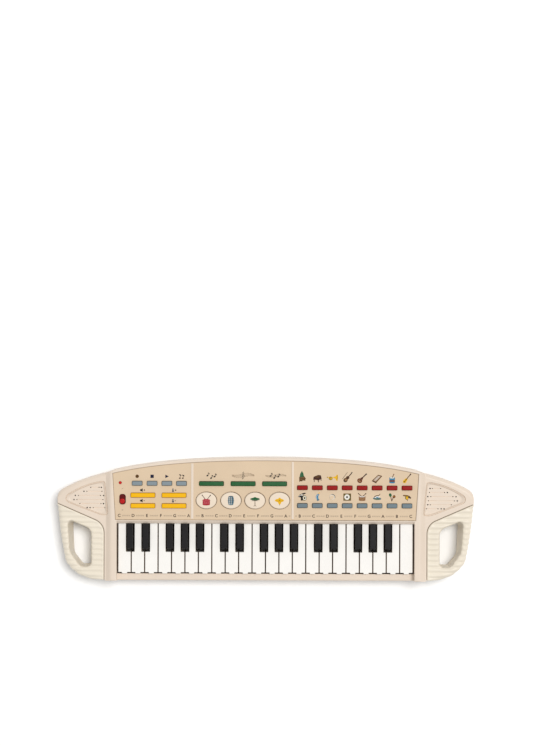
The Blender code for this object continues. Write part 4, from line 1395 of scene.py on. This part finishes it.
def speaker_mark():
    return [shape("dark", (-3.4, -1), (-2.2, -1), (-0.3, -2.2), (-0.3, 2.2), (-2.2, 1),
                  (-3.4, 1))]


def metronome_mark():
    return [shape("navy", (-2.5, -2), (-0.1, -2), (-0.65, 2), (-1.95, 2)),
            line("pale", 0.25, (-1.3, -1.1), (-0.9, 1.5)), oval("pale", -1.05, 0.6, 0.6)]


def paired_notes():
    """Two quavers side by side, as printed over the tune button."""
    marks = []
    for x, y in ((-1.5, 0.3), (2.1, -0.3)):
        marks += [oval("brown", x - 0.5, -2.1, 2.2, 1.6), line("brown", 0.4, (x, -1.8), (x, y + 1.6)),
                  shape("dark", (x - 1.2, y + 2.6), (x + 1.3, y + 1.5), (x + 1.3, y + 0.2),
                        (x - 1.2, y + 1.3))]
    return marks


def harp():
    return [shape("wood", (-3.7, -6.5), (-1.8, -5.2), (-0.6, -5.8), (0.6, -4.5), (3.6, -4.9),
                  (3.4, -3.1), (4.5, -2.7), (2.2, 0.6), (-3.9, -0.6)),
            shape("green", (-3.5, -0.8), (1.9, 0.2), (1.1, 4), (-0.7, 7), (-2.7, 3.4)),
            line("sage", 0.5, (-0.8, 6.4), (-0.6, 0)),
            line("sage", 0.4, (-2.2, 3.6), (-2.4, -0.4)),
            line("tan", 0.35, (-3.2, -1.6), (2.4, -0.9)),
            line("tan", 0.3, (-3.2, -3.6), (2.6, -2.6))]


def grand_piano():
    return [shape("brown", (-5, -2), (-4.6, 1.6), (-2.2, 2.7), (1.4, 4), (4.3, 3.4),
                  (5.2, -0.6), (1.2, -2.9), (-1.6, -2.1)),
            shape("wood", (-4, 1.2), (-1.8, 2.2), (1.4, 3.3), (3.7, 2.7), (0.6, 0.3)),
            line("tan", 0.3, (-4.6, -1.4), (-1.4, -1.5), (1.2, -2.2)),
            line("brown", 0.9, (-3.8, -1.8), (-3.8, -4.6)),
            line("brown", 0.9, (1.2, -2.4), (1.4, -4.9)),
            line("brown", 0.8, (4.4, -0.8), (4.6, -3))]


def trumpet():
    return [line("gold", 0.9, (-6.2, 0.9), (3.2, 0.9)),
            shape("gold", (1.8, 1.4), (4.2, 2.2), (5.6, 4.4), (6.5, 4), (6.8, 0.6), (6.2, -3.4),
                  (5.2, -3.4), (3.8, -0.8), (1.8, 0)),
            oval("olive", -2, -0.6, 4.6, 3.6), oval("gold", -2, -0.6, 3.6, 2.6),
            line("olive", 0.5, (-2.8, -2), (-2.8, 2)),
            line("olive", 0.5, (-1.6, -2), (-1.6, 2)),
            line("olive", 0.5, (5.7, 3.4), (6.1, 0.4), (5.5, -2.6)),
            oval("olive", -6, 0.9, 0.8, 1.6)]


def violin():
    return [oval("wood", -2, -3.5, 5, 5.6, -42), oval("wood", 0.5, -0.6, 3.9, 4.2, -42),
            oval("tan", -1.7, -3.2, 2.6, 3.4, -42), line("brown", 1.1, (-0.9, -2.2), (5.2, 4.8)),
            line("dark", 1.1, (4.6, 4), (6, 6.2)), oval("dark", -3.1, -4.6, 1.2, 1.7, -42),
            line("brown", 0.42, (-6, -2.4), (0.4, 6))]


def banjo():
    return [oval("chestnut", -3, -3.2, 6.2, 5.6, -40), oval("tan", -3.1, -3.3, 3.6, 3, -40),
            shape("chestnut", (-2.4, 0), (0.2, -2.2), (1.4, 0.6), (0.6, 1.4)),
            line("brown", 1.2, (-2.2, -2.2), (4.6, 4.6)), line("dark", 1.5, (4, 3.8), (5.3, 5.3)),
            oval("dark", -2.6, -2.8, 1.2)]


def zither():
    return [shape("wood", (-6.2, -2.8), (-1, -5.4), (6.2, 2.8), (1.2, 4.2)),
            shape("tan", (-4.9, -2.7), (-1.4, -4.3), (4.8, 2.4), (1.2, 3.4)),
            *[line("pale", 0.4, (-4.3 + step, -2.7 - 0.4 * step), (1.5 + step, 2.9 - 0.2 * step))
              for step in (0.3, 1.2, 2.1)],
            shape("brown", (-6.2, -2.8), (-1, -5.4), (-1, -6.2), (-6.2, -3.6))]


def toy_drum():
    return [bar("blue", -3.4, -4.4, 3.4, 1.2), bar("chestnut", -3.4, -3.4, 3.4, -1.4),
            oval("blue", 0, -4.4, 6.8, 1.8), oval("slate", 0, 1.3, 6.8, 2.4),
            oval("pale", 0, 1.4, 5.4, 1.5), line("tan", 0.35, (-3.3, -0.9), (-1.6, -4.2), (0, -1.2),
                                                  (1.6, -4.2), (3.3, -0.9)),
            line("wood", 0.8, (0.2, 1.6), (1.9, 5.4)), oval("chestnut", 2, 5.6, 1.3)]


def guitar():
    return [oval("gold", -2.8, -3.6, 4.8, 4.2, 35), oval("gold", -1.2, -1.6, 3.6, 3.2, 35),
            oval("olive", -3.2, -4, 2.4, 1.8, 35), line("wood", 1, (-1.4, -1.8), (3.8, 4.4)),
            line("brown", 1.4, (3.5, 4), (4.7, 5.6)), oval("brown", -1.7, -2.2, 1.2)]


def drum_kit():
    return [oval("olive", 2.4, -1.3, 5.6, 6.6), oval("pale", 2.7, -1.3, 4, 5),
            oval("olive", 2.7, -1.3, 2.2, 3), bar("dark", -1.8, -4.4, 0.4, 2.2),
            shape("dark", (-5.4, 0.2), (-2.4, 3.4), (0.6, 2.6), (-1.6, -0.8)),
            oval("pale", -0.6, 2.3, 3, 1.2), oval("dark", 1.6, 4, 5.6, 1.6, 12),
            line("pale", 0.4, (-4.4, 0.6), (-1.6, 2.6)), line("dark", 0.5, (1.2, 4), (1, 1.4))]


def saxophone():
    outer = quadratic((1.7, 4.2), (-4.4, 1.6), (0.2, -4.6), 8)
    inner = quadratic((2.6, -3.4), (-0.2, -1), (2.3, 3.4), 8)
    return [shape("blue", *outer, *inner), oval("slate", 0.9, -3.6, 3.4, 1.8, 24),
            line("gold", 0.9, (1.6, 3.6), (2.1, 4.8), (3, 5.2)),
            curve("pale", 0.35, (0.8, 3), (-1.9, 1), (-0.3, -3))]


def tambourine():
    arc = [(3.3 * math.cos(angle), 3.2 * math.sin(angle))
           for angle in (math.radians(step) for step in range(-15, 120, 15))]
    return [oval("faint", 0, 0, 7.2, 7), oval("pale", 0, 0, 6.6, 6.4),
            oval("panel", -0.4, -0.3, 5.6, 5.4), line("dark", 0.7, *arc)]


def turntable():
    return [bar("wood", -4.6, -4.3, 4.6, 4.3), bar("olive", -4.1, -3.8, 4.1, 3.8),
            oval("pale", -0.2, 0, 6.6), oval("dark", -0.2, 0, 2.4),
            line("dark", 0.4, (3.4, 2.8), (3.4, -0.6), (2.4, -1.8))]


def side_drum():
    return [bar("tan", -4, -3.6, 4, 0.6), oval("tan", 0, -3.6, 8, 1.6),
            oval("chestnut", 0, 0.7, 8.2, 2), oval("pale", 0, 0.8, 6.8, 1.3),
            line("chestnut", 0.3, (-4, -0.4), (-2, -4), (0, -0.6), (2, -4), (4, -0.4)),
            *drumsticks(4.4, 4.4, 1)]


def cymbals():
    return [oval("slate", 0, -1.5, 10.2, 3.4, -4), oval("sage", 0, -1.9, 7.4, 2.2, -4),
            oval("wood", -0.6, 1.2, 6, 2.4, 14), oval("pale", 0.2, 0.3, 6.6, 2.2, 8),
            oval("blue", 0.2, -0.3, 3.4, 1.3), line("brown", 0.6, (1.4, 1.4), (3.8, 4.2))]


def maracas():
    return [oval("green", -2.1, 2.6, 3.4, 4.4, 15), line("brown", 0.8, (-1.6, 0.8), (-0.4, -4.6)),
            oval("chestnut", 2.4, 0.7, 3.4, 3.8, -32), line("brown", 0.8, (1.4, -0.4), (-0.4, -4.8)),
            line("sage", 0.4, (-3.4, 2.2), (-0.8, 2.9)), line("gold", 0.3, (1.2, 1.3), (3.6, 0.3))]


def crash_cymbal():
    return [oval("brown", -0.8, 1.7, 8.6, 2, -8), oval("olive", -0.2, -0.8, 4, 4.6, 10),
            oval("gold", 0.1, -0.9, 2.4, 3.6, 10), oval("brown", 3, 0, 4.6, 2.2, -38),
            line("gold", 0.3, (-3.8, 1.9), (2.6, 1.1)), line("dark", 0.5, (0.5, -2.6), (0.8, -4.4))]


def red_drum():
    return [*drumsticks(4.9, 6.2, 0.6), bar("red", -4.4, -5, 4.4, 0.6),
            oval("red", 0, -5, 8.8, 2), oval("pink", 0, 0.7, 8.8, 2.2),
            oval("red", 0, 0.7, 7.4, 1.5),
            *[line("pink", 0.45, (x - 0.8, -4.4), (x, -2), (x + 0.8, -4.4))
              for x in (-2.4, 0, 2.4)],
            line("pink", 0.4, (-4.3, -1.4), (0, -1.9), (4.3, -1.4))]


def barrel_drum():
    body = quadratic((-2.8, 4.8), (-4.3, 0), (-2.8, -4.8), 8)
    other = quadratic((2.8, -4.8), (4.3, 0), (2.8, 4.8), 8)
    marks = [shape("slate", *body, *other), oval("slate", 0, -4.8, 5.6, 1.6)]
    marks += [curve("pale", 0.5, (0.7 * bend, 4.4), (1.3 * bend, 0), (0.7 * bend, -4.8))
              for bend in (-2, 0.4)]
    marks += [line("navy", 0.35, (-3.4, level), (0, level - 0.6), (3.4, level))
              for level in (2.6, 0.4, -1.8)]
    marks += [oval("navy", 0, 4.8, 5.6, 1.5), oval("slate", 0, 4.9, 4.6, 1)]
    return marks


def green_cymbal():
    return [line("wood", 0.7, (0, 1.8), (0, -6.6)),
            line("wood", 0.4, (-1.6, -6.9), (0, -5.4), (1.6, -6.9)),
            oval("green", 0, 1.9, 11.6, 3.2), oval("green", 0, 3.2, 4, 2),
            curve("sage", 0.3, (-4.6, 1.6), (0, 0.4), (4.6, 1.6))]


def yellow_cymbal():
    return [oval("gold", 0.2, -0.4, 4.2, 8.4), oval("gold", 0, 0.3, 11, 4.2),
            line("olive", 0.5, (0.2, -4.2), (0.2, -5.6)), oval("olive", 0.2, 0.6, 1.8, 0.9),
            curve("olive", 0.25, (-4.4, 0.1), (0, -1.2), (4.4, 0.1))]


INSTRUMENTS = ((harp, 0.0518), (grand_piano, 0.0500), (trumpet, 0.0502), (violin, 0.0514),
               (banjo, 0.0504), (zither, 0.0502), (toy_drum, 0.0494), (guitar, 0.0502))
RHYTHMS = ((drum_kit, 0.0274), (saxophone, 0.0274), (tambourine, 0.0274), (turntable, 0.0274),
           (side_drum, 0.0272), (cymbals, 0.0272), (maracas, 0.0274), (crash_cymbal, 0.0274))
SIGNS = ((plus, 0.0350), (minus, 0.0223))
PAD_PRINTS = {1: red_drum, 2: barrel_drum, 3: green_cymbal, 4: yellow_cymbal}


def in_row(pictures):
    """(centre, marks) pairs for the pictures over a row of eight caps, each a (draw, y) pair."""
    return [((PICTURE_X0 + PICTURE_PITCH * index, y), draw())
            for index, (draw, y) in enumerate(pictures)]


def panel_pictures():
    """Groups of (centre, marks) pairs for everything printed on the panel but the letters."""
    return {
        "transport": [((-0.1548, 0.0516), [oval("wood", 0, 0, 4.2)]),
                      ((-0.1368, 0.0516), [bar("navy", -2.0, -2.0, 2.0, 2.0)]),
                      ((-0.1190, 0.0516), [shape("navy", (-1.9, -2.1), (2.3, 0), (-1.9, 2.1))]),
                      ((-0.1014, 0.0516), paired_notes())],
        "volume": [((-0.1478, y), speaker_mark() + sign()) for sign, y in SIGNS],
        "tempo": [((-0.1103, y), metronome_mark() + sign()) for sign, y in SIGNS],
        "melody": [((-0.0653, 0.0528), note(-4.2, 1.6) + note(0.2, -1.4) + note(4.4, 0.4)),
                   ((-0.0272, 0.0530), staff(-13.5, 13.5, -1.1, 4) + treble_clef()),
                   ((0.0107, 0.0528), staff(-11.0, 14.0, -0.9, 3) + note(-4.2, 1.4)
                    + note(0.2, -1.0) + note(5.0, 0.6))],
        "instrument": in_row(INSTRUMENTS),
        "rhythm": in_row(RHYTHMS),
        "power": [((-0.1724, 0.0366), [line("faint", 0.5, (-1.0, -0.6), (1.0, 0.8))]),
                  ((-0.1724, 0.0110), [oval("faint", 0, 0, 1.8), oval("panel", 0, 0, 1.0)])],
    }


def add_print(build, marks, centre, z, inks):
    """Thin solids for one picture, coloured by material index."""
    for order, (colour, outline) in enumerate(marks):
        points = [(centre[0] + 0.001 * x, centre[1] + 0.001 * y) for x, y in outline]
        before = len(build.faces)
        top = z + PRINT_HEIGHT + PRINT_STEP * order
        add_loft(build, [at_height(points, z - PRINT_DEPTH), at_height(points, top)])
        build.faces.ensure_lookup_table()
        for face in build.faces[before:]:
            face.material_index = inks.index(colour)


def print_piece(name, pictures, z, body):
    """One piece that holds some pictures, each a (centre, marks) pair."""
    inks = sorted({colour for _, marks in pictures for colour, _ in marks})

    def make(build):
        for centre, marks in pictures:
            add_print(build, marks, centre, z, inks)
    piece = new_object(name, make)
    looks = [LOOKS["panel"] if each == "panel" else INKS[each] for each in inks]
    finish_piece(piece, looks, body, angle=30)


def make_prints():
    for group, pictures in panel_pictures().items():
        print_piece(f"{group}_prints", pictures, PANEL_TOP_Z, "case")
    for number, draw in PAD_PRINTS.items():
        node = f"drum_pad_{number}"
        top_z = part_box(node)[1].z - PAD_DROP + PAD_CROWN[-1][1]
        print_piece(f"{node}_print", [(pad_place(number)[0], draw())], top_z, node)


def letter_mesh(letter, x):
    """Raised note letter over one key."""
    text = bpy.data.curves.new("letter", "FONT")
    text.body = letter
    text.size = LETTER_SIZE
    text.align_x = "CENTER"
    text.align_y = "CENTER"
    text.extrude = 0.00008
    text.offset = 0.00010
    holder = put("letter", text)
    mesh = evaluated_mesh(holder)
    mesh.transform(Matrix.Translation((x, LETTER_Y, PANEL_TOP_Z)))
    bpy.data.objects.remove(holder)
    return mesh


def make_letters():
    letters = [letter_mesh("CDEFGAB"[index % 7], LETTER_X0 + index * LETTER_PITCH)
               for index in range(WHITE_KEYS)]

    def make(build):
        for mesh in letters:
            build.from_mesh(mesh)
        bmesh.ops.remove_doubles(build, verts=build.verts, dist=1e-7)
    piece = new_object("note_letters", make)
    finish_piece(piece, INKS["letter"], "case", angle=30)
    for mesh in letters:
        bpy.data.meshes.remove(mesh)


def make_letter_rules():
    """Two rows of dashes between neighbouring letters, with gaps at the panel's ribs."""
    rules = []
    for index, step in itertools.product(range(WHITE_KEYS - 1), range(4)):
        left = LETTER_X0 + index * LETTER_PITCH + RULE_START + step * RULE_PITCH
        right = left + RULE_DASH
        if any(low - 0.001 < x < high + 0.001 for x in (left, right) for low, high in PANEL_RIBS):
            continue
        rules += [rectangle(left, right, LETTER_Y + level, LETTER_Y + level + RULE_WIDTH)
                  for level in RULE_LEVELS]
    piece = slabs("letter_rules", rules, PANEL_TOP_Z - PRINT_DEPTH, PANEL_TOP_Z + PRINT_HEIGHT)
    finish_piece(piece, INKS["faint"], "case", angle=30)


# ---------------------------------------------------------------- inside, light, camera

def dress_inner_nodes():
    """Procedural finishes on the CAD nodes that stay as they are."""
    finishes = {"key_pivot_rail": "rail", "control_circuit_board": "board",
                "key_contact_board": "board", "key_contact_rubber": "contact_rubber",
                "left_speaker": "cone", "right_speaker": "cone",
                "battery_contact_strip": "spring"}
    for node, look in finishes.items():
        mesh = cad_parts[node].data
        mesh.materials.clear()
        mesh.materials.append(LOOKS[look])


def make_stage():
    """Large white table."""
    made, tree, shader = new_material("table_paper")
    tone = remap(tree, noise_field(tree, 8, 3), 0.3, 0.7, 0, 1)
    colour = blend(tree, tone, (0.975, 0.975, 0.98, 1), (0.985, 0.985, 0.985, 1))
    for name, value in (("Base Color", colour), ("Roughness", 0.9), ("Specular IOR Level", 0.1)):
        connect(tree, shader.inputs[name], value)
    corners = at_height(rectangle(-TABLE_HALF, TABLE_HALF, -TABLE_HALF, TABLE_HALF), 0)
    table = new_object("table", lambda build: build.faces.new(
        [build.verts.new(corner) for corner in corners]))
    table.data.materials.append(made)


def make_lights():
    """Broad soft key light from the right and behind, in a bright even room."""
    world = bpy.data.worlds.new("studio")
    world.use_nodes = True
    room = world.node_tree.nodes["Background"]
    room.inputs["Color"].default_value = (1, 1, 1, 1)
    room.inputs["Strength"].default_value = 0.55
    bpy.context.scene.world = world
    lamp = bpy.data.lights.new("key_light", "SUN")
    lamp.angle = math.radians(24)
    lamp.energy = 1.86
    lamp.color = (1.0, 0.995, 0.985)
    place = put("key_light", lamp)
    place.rotation_euler = Vector((0.78, 0.62, 2.75)).to_track_quat("Z", "Y").to_euler()


def make_camera():
    camera = bpy.data.cameras.new("camera")
    camera.lens = HALF_SENSOR * (CAMERA_PLACE[2] - KEYS_TOP_Z) / HALF_VIEW
    camera.clip_end = 50
    place = put("camera", camera)
    place.location = CAMERA_PLACE
    place.rotation_euler.z = math.radians(CAMERA_TURN)
    bpy.context.scene.camera = place
    bpy.context.scene.view_settings.view_transform = "Standard"


def main():
    make_top_case()
    make_bottom_case()
    make_feet()
    make_screws()
    make_battery_door()
    make_handle("right_handle", 1)
    make_handle("left_handle", -1)
    make_control_panel()
    make_panel_ribs()
    make_combs()
    make_drum_pads()
    make_power_switch()
    make_lamp()
    make_white_keys()
    make_black_keys()
    make_prints()
    make_letters()
    make_letter_rules()
    dress_inner_nodes()
    make_stage()
    make_lights()
    make_camera()


main()
